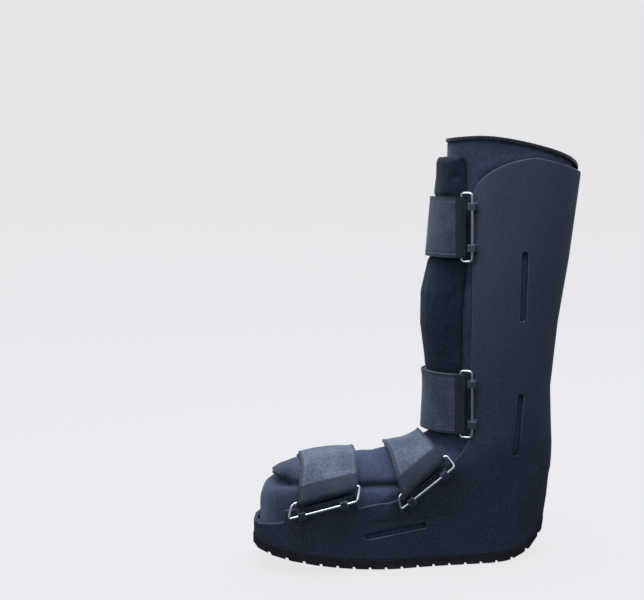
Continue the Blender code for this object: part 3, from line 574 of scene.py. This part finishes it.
@dataclass(frozen=True)
class LoopPile:
    """Strap cloth of fine loops, with a bound selvedge and a stitched line beside it."""

    name: str
    dark: Colour
    light: Colour
    selvedge: Colour
    thread: Colour
    # Colour of the painted shade where the strap turns under toward the wire.
    fold: Colour
    sheen: float = 0.3
    sheen_roughness: float = 0.5
    sheen_tint: tuple[float, ...] = (0.80, 0.86, 0.95, 1.0)
    roughness: float = 0.84
    tuft_gloss: float = 0.14
    specular: float = 0.22
    tuft_share: float = 0.5
    cloud_share: float = 0.35
    rubbed_share: float = 0.3
    border_fade: float = 0.0004
    border_shade: float = 0.75
    fold_shadow_share: float = 0.85
    thread_shade: float = 0.6
    thread_width: float = 0.0006
    groove_width: float = 0.0014
    pile_depth: float = 0.0006
    pile_strength: float = 0.75

    LOOPS = 1250.0
    TUFT = Grain(420.0, 4.0, 0.7)
    CLOUD = Grain(45.0, 3.0, 0.6)
    RUBBED = Grain(14.0)
    TONE_RANGE = (0.42, 0.75)
    STITCH_RANGE = (-0.35, 0.1)
    LOOP_RELIEF = 0.35
    TUFT_RELIEF = 0.55
    GROOVE_RELIEF = 0.9
    STITCH_RELIEF = 0.5
    BORDER_RELIEF = 0.25

    def material(self) -> bpy.types.Material:
        """Return the material."""
        kit = Recipe(self.name)
        place = kit.place()
        inward = kit.attribute(StrapSet.EDGE_DISTANCE)
        tuft = kit.noise(place, self.TUFT)
        cloud = kit.noise(place, self.CLOUD)
        rubbed = kit.noise(place, self.RUBBED)
        tone = tuft * self.tuft_share + cloud * self.cloud_share + rubbed * self.rubbed_share
        colour = kit.mix(kit.ramp(tone, *self.TONE_RANGE), self.dark, self.light)
        border = kit.ramp(inward, StrapSet.SELVEDGE + self.border_fade, StrapSet.SELVEDGE)
        colour = kit.mix(border * self.border_shade, colour, self.selvedge)
        # Painted shade: the face darkens near the wire, where the strap turns under toward the
        # loop.
        fold = kit.ramp(kit.attribute(StrapSet.WIRE_DISTANCE), *StrapSet.FOLD_SHADOW_RANGE)
        colour = kit.mix(fold * self.fold_shadow_share, colour, self.fold)
        stitch = self._stitches(kit, inward) * (1 - fold)
        colour = kit.mix(stitch * self.thread_shade, colour, self.thread)
        groove = kit.line(inward, StrapSet.STITCH_INSET, self.groove_width) * (1 - fold)
        pile = kit.cells(place, self.LOOPS) * self.LOOP_RELIEF + tuft * self.TUFT_RELIEF
        sewn = stitch * self.STITCH_RELIEF - groove * self.GROOVE_RELIEF
        relief = pile + sewn - border * self.BORDER_RELIEF
        return kit.surface(
            Base_Color=colour,
            Roughness=self.roughness + (tuft - MIDDLE) * self.tuft_gloss,
            Normal=kit.bump(relief, self.pile_depth, self.pile_strength),
            Sheen_Weight=self.sheen,
            Sheen_Roughness=self.sheen_roughness,
            Sheen_Tint=self.sheen_tint,
            Specular_IOR_Level=self.specular,
        )

    def _stitches(self, kit: Recipe, inward: Value) -> Value:
        """Return 1 on the dashes of thread beside the selvedge."""
        along = kit.attribute(StrapSet.STITCH_PLACE)
        wave = kit.sine(along * (2 * math.pi / StrapSet.STITCH_LENGTH))
        run = kit.line(inward, StrapSet.STITCH_INSET, self.thread_width)
        return kit.ramp(wave, *self.STITCH_RANGE) * run


@dataclass(frozen=True)
class WovenTape:
    """Narrow woven tape that binds an edge."""

    name: str
    dark: Colour
    light: Colour
    roughness: float = 0.8
    fuzz_gloss: float = 0.15
    sheen: float = 0.2
    sheen_roughness: float = 0.5
    specular: float = 0.3
    rib_share: float = 0.2
    row_share: float = 0.1
    fuzz_share: float = 0.7
    weave_depth: float = 0.00035
    weave_strength: float = 0.7

    FUZZ = Grain(700.0, 3.0, 0.7)
    RIB_PITCH = 2600.0
    ROW_PITCH = 4200.0
    WEAVE_RANGE = (0.3, 0.9)

    def material(self) -> bpy.types.Material:
        """Return the material."""
        kit = Recipe(self.name)
        place = kit.place()
        x, y, z = kit.axes(place)
        rib = kit.sine((x + y) * self.RIB_PITCH) * MIDDLE + MIDDLE
        rows = kit.sine(z * self.ROW_PITCH) * MIDDLE + MIDDLE
        fuzz = kit.noise(place, self.FUZZ)
        weave = rib * self.rib_share + rows * self.row_share + fuzz * self.fuzz_share
        return kit.surface(
            Base_Color=kit.mix(kit.ramp(weave, *self.WEAVE_RANGE), self.dark, self.light),
            Roughness=self.roughness + (fuzz - MIDDLE) * self.fuzz_gloss,
            Normal=kit.bump(weave, self.weave_depth, self.weave_strength),
            Sheen_Weight=self.sheen,
            Sheen_Roughness=self.sheen_roughness,
            Specular_IOR_Level=self.specular,
        )


@dataclass(frozen=True)
class PlatedMetal:
    """Bright plated wire with hairline scratches and dull patches."""

    name: str
    colour: Colour
    dull: Colour
    dull_share: float = 0.6
    roughness: float = 0.2
    patch_gloss: float = 0.2
    scratch_gloss: float = 0.12
    scratch_depth: float = 0.00008
    scratch_strength: float = 0.5

    PATCH = Grain(160.0, 4.0, 0.7)
    SCRATCH = Grain(2600.0)
    PATCH_RANGE = (0.45, 0.75)

    def material(self) -> bpy.types.Material:
        """Return the material."""
        kit = Recipe(self.name)
        place = kit.place()
        patch = kit.ramp(kit.noise(place, self.PATCH), *self.PATCH_RANGE)
        scratch = kit.noise(place, self.SCRATCH)
        gloss = patch * self.patch_gloss + (scratch - MIDDLE) * self.scratch_gloss
        return kit.surface(
            Base_Color=kit.mix(patch * self.dull_share, self.colour, self.dull),
            Roughness=self.roughness + gloss,
            Metallic=1.0,
            Normal=kit.bump(scratch, self.scratch_depth, self.scratch_strength),
        )


@dataclass(frozen=True)
class PaleBackdrop:
    """Plain matt backdrop paper that glows a little, so it looks even all over."""

    name: str
    colour: Colour
    glow: Colour
    roughness: float = 0.9
    specular: float = 0.1

    def material(self) -> bpy.types.Material:
        """Return the material."""
        kit = Recipe(self.name)
        return kit.surface(Base_Color=(*self.colour, 1.0), Roughness=self.roughness,
                           Specular_IOR_Level=self.specular,
                           Emission_Color=(*self.glow, 1.0), Emission_Strength=1.0)


@dataclass
class ShellAssembly:
    """The moulded shell and the rubber sole under it."""

    smooth_degrees: float = 38.0
    flat_weight: int = 80

    def build(self) -> None:
        """Build both pieces."""
        # The shell's top and bottom colours are the ends of a painted height shade; the pale
        # colour serves for grain flecks and painted edge highlights.
        plastic = MouldedPlastic("shell_moulded", top=(0.053, 0.075, 0.110),
                                 bottom=(0.017, 0.023, 0.045), fleck_and_highlight=(0.20, 0.23, 0.30))
        rubber = TreadRubber("sole_black_rubber", colour=(0.010, 0.010, 0.013),
                             dust=(0.075, 0.070, 0.072))
        for node, name, slot, finish in (
                ("shell", "moulded_shell", Slot.SHELL, plastic),
                ("outsole", "rocker_sole", Slot.SOLE, rubber)):
            piece = Bench.copy_node(node, name)
            Bench.smooth(piece, self.smooth_degrees)
            Bench.apply(piece, "WEIGHTED_NORMAL", keep_sharp=True,
                        weight=self.flat_weight)
            Bench.fasten(piece, slot, [finish.material()], node)


@dataclass
class Padding:
    """Foam under cloth: remeshed, swelled by simulated pressure and capped."""

    voxel: float
    swell: float
    pressure: float = 4.0
    clearance: float = 0.0006
    tuck: float = 0.0004
    frames: int = 20

    def shape(self, piece: Piece, node: str, neighbours: list[str],
              limit: Callable[[np.ndarray], np.ndarray]) -> None:
        """Turn a merged copy of a node into a soft pad.

        Args:
            piece: the merged copy.
            node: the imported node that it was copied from.
            neighbours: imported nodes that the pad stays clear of.
            limit: gives the share of the swelling that each place may have.
        """
        Bench.apply(piece, "REMESH", mode="VOXEL", voxel_size=self.voxel,
                    use_smooth_shade=True)
        Bench.apply(piece, "SHRINKWRAP", target=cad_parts[node],
                    wrap_method="NEAREST_SURFACEPOINT")
        start = Bench.points(piece) - Bench.normals(piece) * self.tuck
        Bench.put(piece, start)
        self._simulate(piece)
        moved = Bench.points(piece)
        room = self._room(start, neighbours) * limit(start)
        step = moved - start
        length = np.maximum(np.linalg.norm(step, axis=1), TINY)
        Bench.put(piece, start + step * np.minimum(1.0, room / length)[:, None])
        Bench.apply(piece, "SUBSURF", levels=1, render_levels=1)

    def _simulate(self, piece: Piece) -> None:
        """Swell the piece with cloth pressure and apply the result."""
        cloth = piece.modifiers.new("Cloth", "CLOTH")
        cloth.settings.use_pressure = True
        cloth.settings.uniform_pressure_force = self.pressure
        cloth.settings.effector_weights.gravity = 0
        scene = bpy.context.scene
        for step in range(1, self.frames + 1):
            scene.frame_set(step)
        Bench.only(piece)
        bpy.ops.object.modifier_apply(modifier=cloth.name)
        scene.frame_set(1)

    def _room(self, points: np.ndarray, neighbours: list[str]) -> np.ndarray:
        """Return how far each point may move before it nears a neighbour."""
        trees = [Bench.tree(name) for name in neighbours]
        room = np.full(len(points), self.swell)
        reach = self.swell + self.clearance
        for index, point in enumerate(points):
            for tree in trees:
                nearest, _, _, distance = tree.find_nearest(Vector(point), reach)
                if nearest is not None:
                    room[index] = min(room[index], max(0.0, distance - self.clearance))
        return room


@dataclass
class PaddedLiner:
    """The padded bootie, its top flap's edge over the foot and the tape round its rim."""

    padding: Padding
    flap: FlapEdge
    smooth_degrees: float = 70.0
    groove_depth: float = 0.0036
    left_run: tuple[float, float] = (0.0, 0.02)
    seam_run: tuple[float, float] = (-0.02, 0.0)
    flap_rise: float = 0.0014
    flap_start: float = 0.004
    flap_end: tuple[float, float] = (0.022, 0.010)
    notch_depth: float = 0.0080
    notch_width: float = 0.0042
    notch_x: tuple[float, float] = (0.112, 0.122)
    lip_reach: float = 0.0040
    lip_start: float = 0.003
    lip_end: tuple[float, float] = (0.013, 0.007)
    lip_rough: float = 0.0016
    fray_waves: tuple[float, float, float] = (1900.0, 1500.0, 700.0)
    facing: float = 3.0
    puff_place: tuple[float, float] = (-0.0250, 0.1280)
    puff_reach: float = 0.0050
    puff_half_width: float = 0.024
    puff_rise: float = 0.0052
    rim_low_z: float = 0.375
    rim_calm: float = 0.014
    rim_slope: float = 0.7
    tape_lift: float = 0.0004
    tape_width: float = 0.0032
    tape_thickness: float = 0.0008
    tape_bevel: float = 0.0005
    tape_rows: int = 2
    tape_smooth_degrees: float = 45.0

    NEIGHBOURS = ["shell", "shin_panel", "strap_calf_upper", "strap_calf_lower",
                  "strap_instep", "strap_forefoot", "loop_instep", "loop_forefoot"]

    def build(self) -> None:
        """Build the liner and its rim tape."""
        cloth = BrushedCloth("liner_cloth", dark=(0.020, 0.029, 0.058),
                             light=(0.056, 0.077, 0.136), flap_shadow_line=self.flap)
        liner = Bench.copy_node("liner", "padded_liner")
        self.padding.shape(liner, "liner", self.NEIGHBOURS, self._calm_at_rim)
        self._press_flap(liner)
        self._fill_instep(liner)
        Bench.smooth(liner, self.smooth_degrees)
        Bench.fasten(liner, Slot.LINER, [cloth.material()], "liner")
        self._bind_rim()

    def _calm_at_rim(self, points: np.ndarray) -> np.ndarray:
        """Keep the padding from swelling where the tape holds the rim."""
        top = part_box("liner")[1][2]
        return Bench.step(points[:, 2], top - self.rim_calm, top - 2 * self.rim_calm)

    def _press_flap(self, liner: Piece) -> None:
        """Press the flap's edge into the left side, with a notch and a frayed lip at the toe."""
        points = Bench.points(liner)
        normals = Bench.normals(liner)
        x, y, z = points.T
        above = z - self.flap.z_at(x)
        on_left = Bench.step(y, *self.left_run) * Bench.step(x, *self.seam_run)
        on_left = on_left * (normals[:, 1] > 0.0)
        dip = np.exp(-(above / self.flap.width) ** 2) * self.groove_depth
        rise = Bench.step(above, 0.0, self.flap_start) * Bench.step(above, *self.flap_end)
        move = (rise * self.flap_rise - dip) * on_left
        at_toe = Bench.step(x, *self.notch_x) * np.clip(normals[:, 0] * self.facing, 0, 1)
        notch = np.exp(-(above / self.notch_width) ** 2) * self.notch_depth
        over = Bench.step(above, 0.0, self.lip_start) * Bench.step(above, *self.lip_end)
        across, up, slant = self.fray_waves
        frayed = np.sin(y * across) * np.sin(z * up + y * slant) * self.lip_rough
        points = points + normals * move[:, None]
        points[:, 0] += (over * (self.lip_reach + frayed) - notch) * at_toe
        Bench.put(liner, points)

    def _fill_instep(self, liner: Piece) -> None:
        """Puff the cloth up where it shows between the instep strap and the lower calf strap."""
        points = Bench.points(liner)
        normals = Bench.normals(liner)
        x, y, z = points.T
        middle_x, middle_z = self.puff_place
        away = ((x - middle_x) ** 2 + (z - middle_z) ** 2) / self.puff_reach ** 2
        middle = np.clip(1 - (y / self.puff_half_width) ** 2, 0.0, 1.0)
        outside = np.clip((normals[:, 0] + normals[:, 2]) * self.facing, 0.0, 1.0)
        rise = np.exp(-away) * middle * outside * self.puff_rise
        Bench.put(liner, points + normals * rise[:, None])

    def _bind_rim(self) -> None:
        """Fold a woven tape over the liner's rim."""
        tape = Bench.copy_node("liner", "rim_tape")
        Bench.edit(tape, "FACE")
        shape = bmesh.from_edit_mesh(tape.data)
        for face in shape.faces:
            low = face.calc_center_median().z < self.rim_low_z
            face.select = low or face.normal.z < self.rim_slope
        bmesh.update_edit_mesh(tape.data)
        bpy.ops.mesh.delete(type="FACE")
        bpy.ops.mesh.select_all(action="SELECT")
        bpy.ops.transform.translate(value=(0.0, 0.0, self.tape_lift))
        bpy.ops.mesh.select_mode(type="EDGE")
        bpy.ops.mesh.select_all(action="DESELECT")
        bpy.ops.mesh.select_non_manifold()
        down = (0.0, 0.0, -self.tape_width / self.tape_rows)
        for _ in range(self.tape_rows):
            bpy.ops.mesh.extrude_edges_move(TRANSFORM_OT_translate={"value": down})
        bpy.ops.mesh.select_all(action="SELECT")
        bpy.ops.mesh.normals_make_consistent(inside=False)
        Bench.close()
        Bench.apply(tape, "SOLIDIFY", thickness=self.tape_thickness, offset=1.0)
        Bench.apply(tape, "BEVEL", width=self.tape_bevel, segments=2, limit_method="ANGLE")
        Bench.smooth(tape, self.tape_smooth_degrees)
        finish = WovenTape("rim_tape_weave", dark=(0.006, 0.008, 0.013),
                           light=(0.028, 0.034, 0.050))
        Bench.fasten(tape, Slot.LINER, [finish.material()])


@dataclass
class ShinPanel:
    """The padded panel over the front of the calf."""

    padding: Padding
    smooth_degrees: float = 70.0

    NEIGHBOURS = ["liner", "strap_calf_upper", "strap_calf_lower", "strap_instep", "shell",
                  "loop_calf_upper", "loop_calf_lower"]

    def build(self) -> None:
        """Build the panel."""
        panel = Bench.copy_node("shin_panel", "front_pad")
        self.padding.shape(panel, "shin_panel", self.NEIGHBOURS, self._everywhere)
        Bench.smooth(panel, self.smooth_degrees)
        finish = BrushedCloth("front_pad_cloth", dark=(0.003, 0.010, 0.021),
                              light=(0.015, 0.033, 0.060), sheen=0.12)
        Bench.fasten(panel, Slot.PANEL, [finish.material()], "shin_panel")

    @staticmethod
    def _everywhere(points: np.ndarray) -> np.ndarray:
        """Let the whole pad swell."""
        return np.ones(len(points))


class StrapSet:
    """The four straps: loop pile outside, darker backing inside, stitched edges."""

    EDGE_DISTANCE = "edge_distance"
    STITCH_PLACE = "stitch_place"
    WIRE_DISTANCE = "wire_distance"
    # Painted shade by the fold: full within 0.94 of the width from the wire, gone past 1.08;
    # widths for calf and foot straps.
    FOLD_SHADOW_RANGE = (1.08, 0.94)
    CALF_FOLD = 0.0044
    FOOT_FOLD = 0.0128
    SELVEDGE = 0.0022
    STITCH_INSET = 0.0040
    STITCH_LENGTH = 0.0036
    SHARP_DEGREES = 50.0
    SHARP = math.radians(SHARP_DEGREES)
    TURN_RADIUS = 0.055
    RIVET_CLEAR = 0.009
    EDGE_SAMPLES = 5

    def __init__(self) -> None:
        """Mix the finishes for both faces, and a darker copy of the face as painted shade for
        the calf straps.
        """
        self.face = LoopPile("strap_face", dark=(0.055, 0.070, 0.100),
                             light=(0.175, 0.207, 0.270), selvedge=(0.034, 0.043, 0.062),
                             thread=(0.22, 0.25, 0.31),
                             fold=(0.016, 0.021, 0.034)).material()
        # Painted shade: the same pile, darker, for the upright calf straps that face away from
        # the overhead light.
        self.shaded_calf_face = LoopPile("calf_strap_face_painted_shade", dark=(0.030, 0.040, 0.060),
                                  light=(0.085, 0.106, 0.148), selvedge=(0.020, 0.026, 0.040),
                                  thread=(0.14, 0.165, 0.21),
                                  fold=(0.012, 0.016, 0.028)).material()
        self.back = LoopPile("strap_back", dark=(0.016, 0.019, 0.032),
                             light=(0.048, 0.056, 0.082), selvedge=(0.070, 0.082, 0.110),
                             thread=(0.13, 0.15, 0.19),
                             fold=(0.012, 0.015, 0.026)).material()

    def build(self) -> None:
        """Build every strap."""
        for name, loop in (("strap_calf_upper", "loop_calf_upper"),
                           ("strap_calf_lower", "loop_calf_lower"),
                           ("strap_instep", "loop_instep"),
                           ("strap_forefoot", "loop_forefoot")):
            strap = Bench.copy_node(name, f"{name}_pile")
            self._soften(strap)
            self._measure_fold(strap, loop)
            self._paint_sides(strap, loop)
            self._measure_edges(strap, name)
            Bench.smooth(strap, self.SHARP_DEGREES)
            # Calf straps take the darker, painted-shade copy of the face.
            face = self.shaded_calf_face if "calf" in name else self.face
            Bench.fasten(strap, Slot.STRAP, [face, self.back], name)

    def _soften(self, strap: Piece) -> None:
        """Round the strap along its length and keep its cut edges crisp."""
        Bench.edit(strap)
        bpy.ops.mesh.select_all(action="SELECT")
        bpy.ops.mesh.tris_convert_to_quads()
        bpy.ops.mesh.select_all(action="DESELECT")
        bpy.ops.mesh.edges_select_sharp(sharpness=self.SHARP)
        bpy.ops.transform.edge_crease(value=1.0)
        Bench.close()
        Bench.apply(strap, "SUBSURF", levels=2, render_levels=2)

    def _measure_fold(self, strap: Piece, loop: str) -> None:
        """Store each point's distance from the wire, as a share of the width of the painted
        shade at the fold.
        """
        wire = Bench.tree(loop)
        band = self.CALF_FOLD if "calf" in loop else self.FOOT_FOLD
        reach = strap.data.attributes.new(self.WIRE_DISTANCE, "FLOAT", "POINT")
        for index, vertex in enumerate(strap.data.vertices):
            _, _, _, distance = wire.find_nearest(vertex.co)
            reach.data[index].value = distance / band

    def _paint_sides(self, strap: Piece, loop: str) -> None:
        """Give the face that touches the wire, and the strap's edges, the backing's finish."""
        wire = KDTree(len(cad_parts[loop].data.vertices))
        for index, vertex in enumerate(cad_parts[loop].data.vertices):
            wire.insert(vertex.co, index)
        wire.balance()
        shape = bmesh.new()
        shape.from_mesh(strap.data)
        shape.faces.ensure_lookup_table()
        regions = self._regions(shape)
        regions.sort(key=lambda faces: -sum(face.calc_area() for face in faces))
        sides = regions[:2]
        near = [min(wire.find(face.calc_center_median())[2] for face in side) for side in sides]
        front = sides[0] if near[0] > near[1] else sides[1]
        front_faces = {face.index for face in front}
        for face in shape.faces:
            face.material_index = 0 if face.index in front_faces else 1
        shape.to_mesh(strap.data)
        shape.free()

    def _regions(self, shape: bmesh.types.BMesh) -> list[list[bmesh.types.BMFace]]:
        """Split a strap's faces into regions that sharp edges bound."""
        left = set(shape.faces)
        regions = []
        while left:
            region = []
            queue = [left.pop()]
            while queue:
                face = queue.pop()
                region.append(face)
                for edge in face.edges:
                    if len(edge.link_faces) != 2 or edge.calc_face_angle() > self.SHARP:
                        continue
                    for other in edge.link_faces:
                        if other in left:
                            left.remove(other)
                            queue.append(other)
            regions.append(region)
        return regions

    def _measure_edges(self, strap: Piece, name: str) -> None:
        """Store each point's distance from the edge and its place round the boot."""
        shape = bmesh.new()
        shape.from_mesh(strap.data)
        samples = []
        for edge in shape.edges:
            if len(edge.link_faces) == 2 and edge.calc_face_angle() > self.SHARP:
                start, end = edge.verts
                for step in range(self.EDGE_SAMPLES):
                    samples.append(start.co.lerp(end.co, step / self.EDGE_SAMPLES))
        shape.free()
        rivet = name.replace("strap", "rivet")
        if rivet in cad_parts:
            low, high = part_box(rivet)
            middle = (Vector(low) + Vector(high)) / 2
            samples = [point for point in samples if (point - middle).length > self.RIVET_CLEAR]
        tree = KDTree(len(samples))
        for index, point in enumerate(samples):
            tree.insert(point, index)
        tree.balance()
        low, high = (Vector(corner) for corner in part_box(name))
        middle = (low + high) / 2
        inward = strap.data.attributes.new(self.EDGE_DISTANCE, "FLOAT", "POINT")
        around = strap.data.attributes.new(self.STITCH_PLACE, "FLOAT", "POINT")
        for index, vertex in enumerate(strap.data.vertices):
            inward.data[index].value = tree.find(vertex.co)[2]
            away = vertex.co - middle
            height = away.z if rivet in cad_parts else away.x
            around.data[index].value = math.atan2(away.y, height) * self.TURN_RADIUS


@dataclass
class Hardware:
    """The wire loops and the eyelets."""

    plump: float = 0.00012
    smooth_degrees: float = 60.0

    def build(self) -> None:
        """Build every loop and eyelet."""
        wire = PlatedMetal("plated_wire", colour=(0.86, 0.87, 0.89), dull=(0.42, 0.43, 0.46))
        metal = wire.material()
        for node, ending in (("loop_calf_upper", "wire"), ("loop_calf_lower", "wire"),
                             ("loop_instep", "wire"), ("loop_forefoot", "wire"),
                             ("rivet_instep", "eyelet"), ("rivet_forefoot", "eyelet")):
            piece = Bench.copy_node(node, f"{node}_{ending}")
            self._round(piece)
            Bench.fasten(piece, Slot.WIRE, [metal], node)

    def _round(self, piece: Piece) -> None:
        """Round off a faceted metal piece without thinning it."""
        Bench.edit(piece)
        bpy.ops.mesh.select_all(action="SELECT")
        bpy.ops.mesh.tris_convert_to_quads()
        bpy.ops.transform.shrink_fatten(value=self.plump)
        Bench.close()
        Bench.apply(piece, "SUBSURF", levels=2, render_levels=2)
        Bench.smooth(piece, self.smooth_degrees)


@dataclass(frozen=True)
class Lamp:
    """A square soft light that faces the boot."""

    name: str
    place: tuple[float, float, float]
    size: float
    power: float
    colour: Colour = (1.0, 1.0, 1.0)

    def hang(self, aim: Vector) -> None:
        """Hang the lamp so that it faces a point."""
        lamp = bpy.data.lights.new(self.name, "AREA")
        lamp.size = self.size
        lamp.energy = self.power
        lamp.color = self.colour
        holder = bpy.data.objects.new(self.name, lamp)
        holder.location = self.place
        toward = aim - Vector(self.place)
        holder.rotation_euler = toward.to_track_quat("-Z", "Y").to_euler()
        bpy.context.scene.collection.objects.link(holder)


@dataclass
class Studio:
    """The camera at the photograph's angle, soft lights and a pale sweep."""

    picture: tuple[int, int] = (644, 600)
    origin_px: tuple[float, float] = (401.5, 560.0)
    azimuth: float = 170.0
    distance: float = 1.30
    height: float = 0.375
    aim_height: float = 0.208
    pixels_per_metre: float = 1007.0
    sensor: float = 36.0
    paper: Colour = (0.04, 0.04, 0.04)
    glow: Colour = (0.767, 0.767, 0.782)
    sky: tuple[float, float, float, float] = (0.74, 0.87, 1.05, 1.0)
    sky_ramp: tuple[float, float, float, float] = (-0.15, 1.0, 0.09, 0.95)
    lamp_aim: tuple[float, float, float] = (0.0, 0.0, 0.15)
    sweep_sides: int = 96
    sweep_smooth_degrees: float = 40.0

    LAMPS = (
        Lamp("overhead", place=(0.0, 0.15, 2.1), size=1.7, power=42.0, colour=(0.93, 0.97, 1.0)),
        Lamp("front", place=(1.5, 1.5, 1.3), size=1.0, power=7.0),
        Lamp("rim", place=(-1.4, -0.8, 1.3), size=0.8, power=8.0),
    )
    SWEEP_RADII = (2.2, 2.6, 2.85, 2.97, 3.0, 3.0)
    SWEEP_HEIGHTS = (0.0, 0.08, 0.28, 0.62, 1.2, 3.2)

    def build(self) -> None:
        """Set up the camera, lights and backdrop."""
        self._camera()
        self._lights()
        self._sweep()

    def _camera(self) -> None:
        """Place the camera so that the boot fills the same part of the frame."""
        turn = math.radians(self.azimuth)
        place = Vector((math.sin(turn), -math.cos(turn), 0.0)) * self.distance
        place.z = self.height
        aim = Vector((0.0, 0.0, self.aim_height))
        camera = bpy.data.cameras.new("camera")
        camera.sensor_width = self.sensor
        width, height = self.picture
        focal_px = self.pixels_per_metre * (place - aim).length
        camera.lens = focal_px / width * self.sensor
        aim_px_y = self.origin_px[1] - self.aim_height * self.pixels_per_metre
        camera.shift_x = (width / 2 - self.origin_px[0]) / width
        camera.shift_y = (aim_px_y - height / 2) / width
        holder = bpy.data.objects.new("camera", camera)
        holder.location = place
        holder.rotation_euler = (aim - place).to_track_quat("-Z", "Y").to_euler()
        bpy.context.scene.collection.objects.link(holder)
        bpy.context.scene.camera = holder

    def _lights(self) -> None:
        """Light the boot softly from above, the front and behind."""
        for lamp in self.LAMPS:
            lamp.hang(Vector(self.lamp_aim))
        bpy.context.scene.world = self._sky()
        bpy.context.scene.view_settings.view_transform = "Standard"

    def _sky(self) -> bpy.types.World:
        """Return a cool surround that is brightest overhead and dim below."""
        world = bpy.data.worlds.new("studio")
        world.use_nodes = True
        nodes, links = world.node_tree.nodes, world.node_tree.links
        light = nodes["Background"]
        light.inputs["Color"].default_value = self.sky
        place = nodes.new("ShaderNodeTexCoord")
        split = nodes.new("ShaderNodeSeparateXYZ")
        ramp = nodes.new("ShaderNodeMapRange")
        for name, value in zip(("From Min", "From Max", "To Min", "To Max"), self.sky_ramp):
            ramp.inputs[name].default_value = value
        links.new(place.outputs["Generated"], split.inputs[0])
        links.new(split.outputs["Z"], ramp.inputs["Value"])
        links.new(ramp.outputs[0], light.inputs["Strength"])
        return world

    def _sweep(self) -> None:
        """Lay a round floor and turn its edge up into a backdrop all round."""
        radius, *wider = self.SWEEP_RADII
        height, *higher = self.SWEEP_HEIGHTS
        bpy.ops.object.select_all(action="DESELECT")
        bpy.ops.mesh.primitive_circle_add(vertices=self.sweep_sides, radius=radius,
                                          fill_type="NGON")
        floor = bpy.context.object
        floor.name = "sweep"
        Bench.edit(floor)
        bpy.ops.mesh.select_all(action="SELECT")
        bpy.ops.mesh.region_to_loop()
        for next_radius, next_height in zip(wider, higher):
            rise = (0.0, 0.0, next_height - height)
            bpy.ops.mesh.extrude_edges_move(TRANSFORM_OT_translate={"value": rise})
            growth = next_radius / radius
            bpy.ops.transform.resize(value=(growth, growth, 1.0))
            radius, height = next_radius, next_height
        bpy.ops.mesh.select_all(action="SELECT")
        bpy.ops.mesh.normals_make_consistent(inside=True)
        Bench.close()
        Bench.smooth(floor, self.sweep_smooth_degrees)
        paper = PaleBackdrop("backdrop_paper", self.paper, self.glow)
        floor.data.materials.append(paper.material())
        floor.visible_diffuse = False
        floor.visible_glossy = False


def main() -> None:
    """Build every sub-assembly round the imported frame."""
    logging.basicConfig(level=logging.INFO, format="%(name)s %(message)s")
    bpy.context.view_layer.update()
    flap = FlapEdge(height=0.083, toe_height=0.0865, back_x=0.06, toe_x=0.115, width=0.0046)
    assemblies = (
        Studio(),
        ShellAssembly(),
        PaddedLiner(Padding(voxel=0.0045, swell=0.003), flap),
        ShinPanel(Padding(voxel=0.0022, swell=0.003)),
        StrapSet(),
        Hardware(),
    )
    for assembly in assemblies:
        assembly.build()


if __name__ == "__main__":
    main()
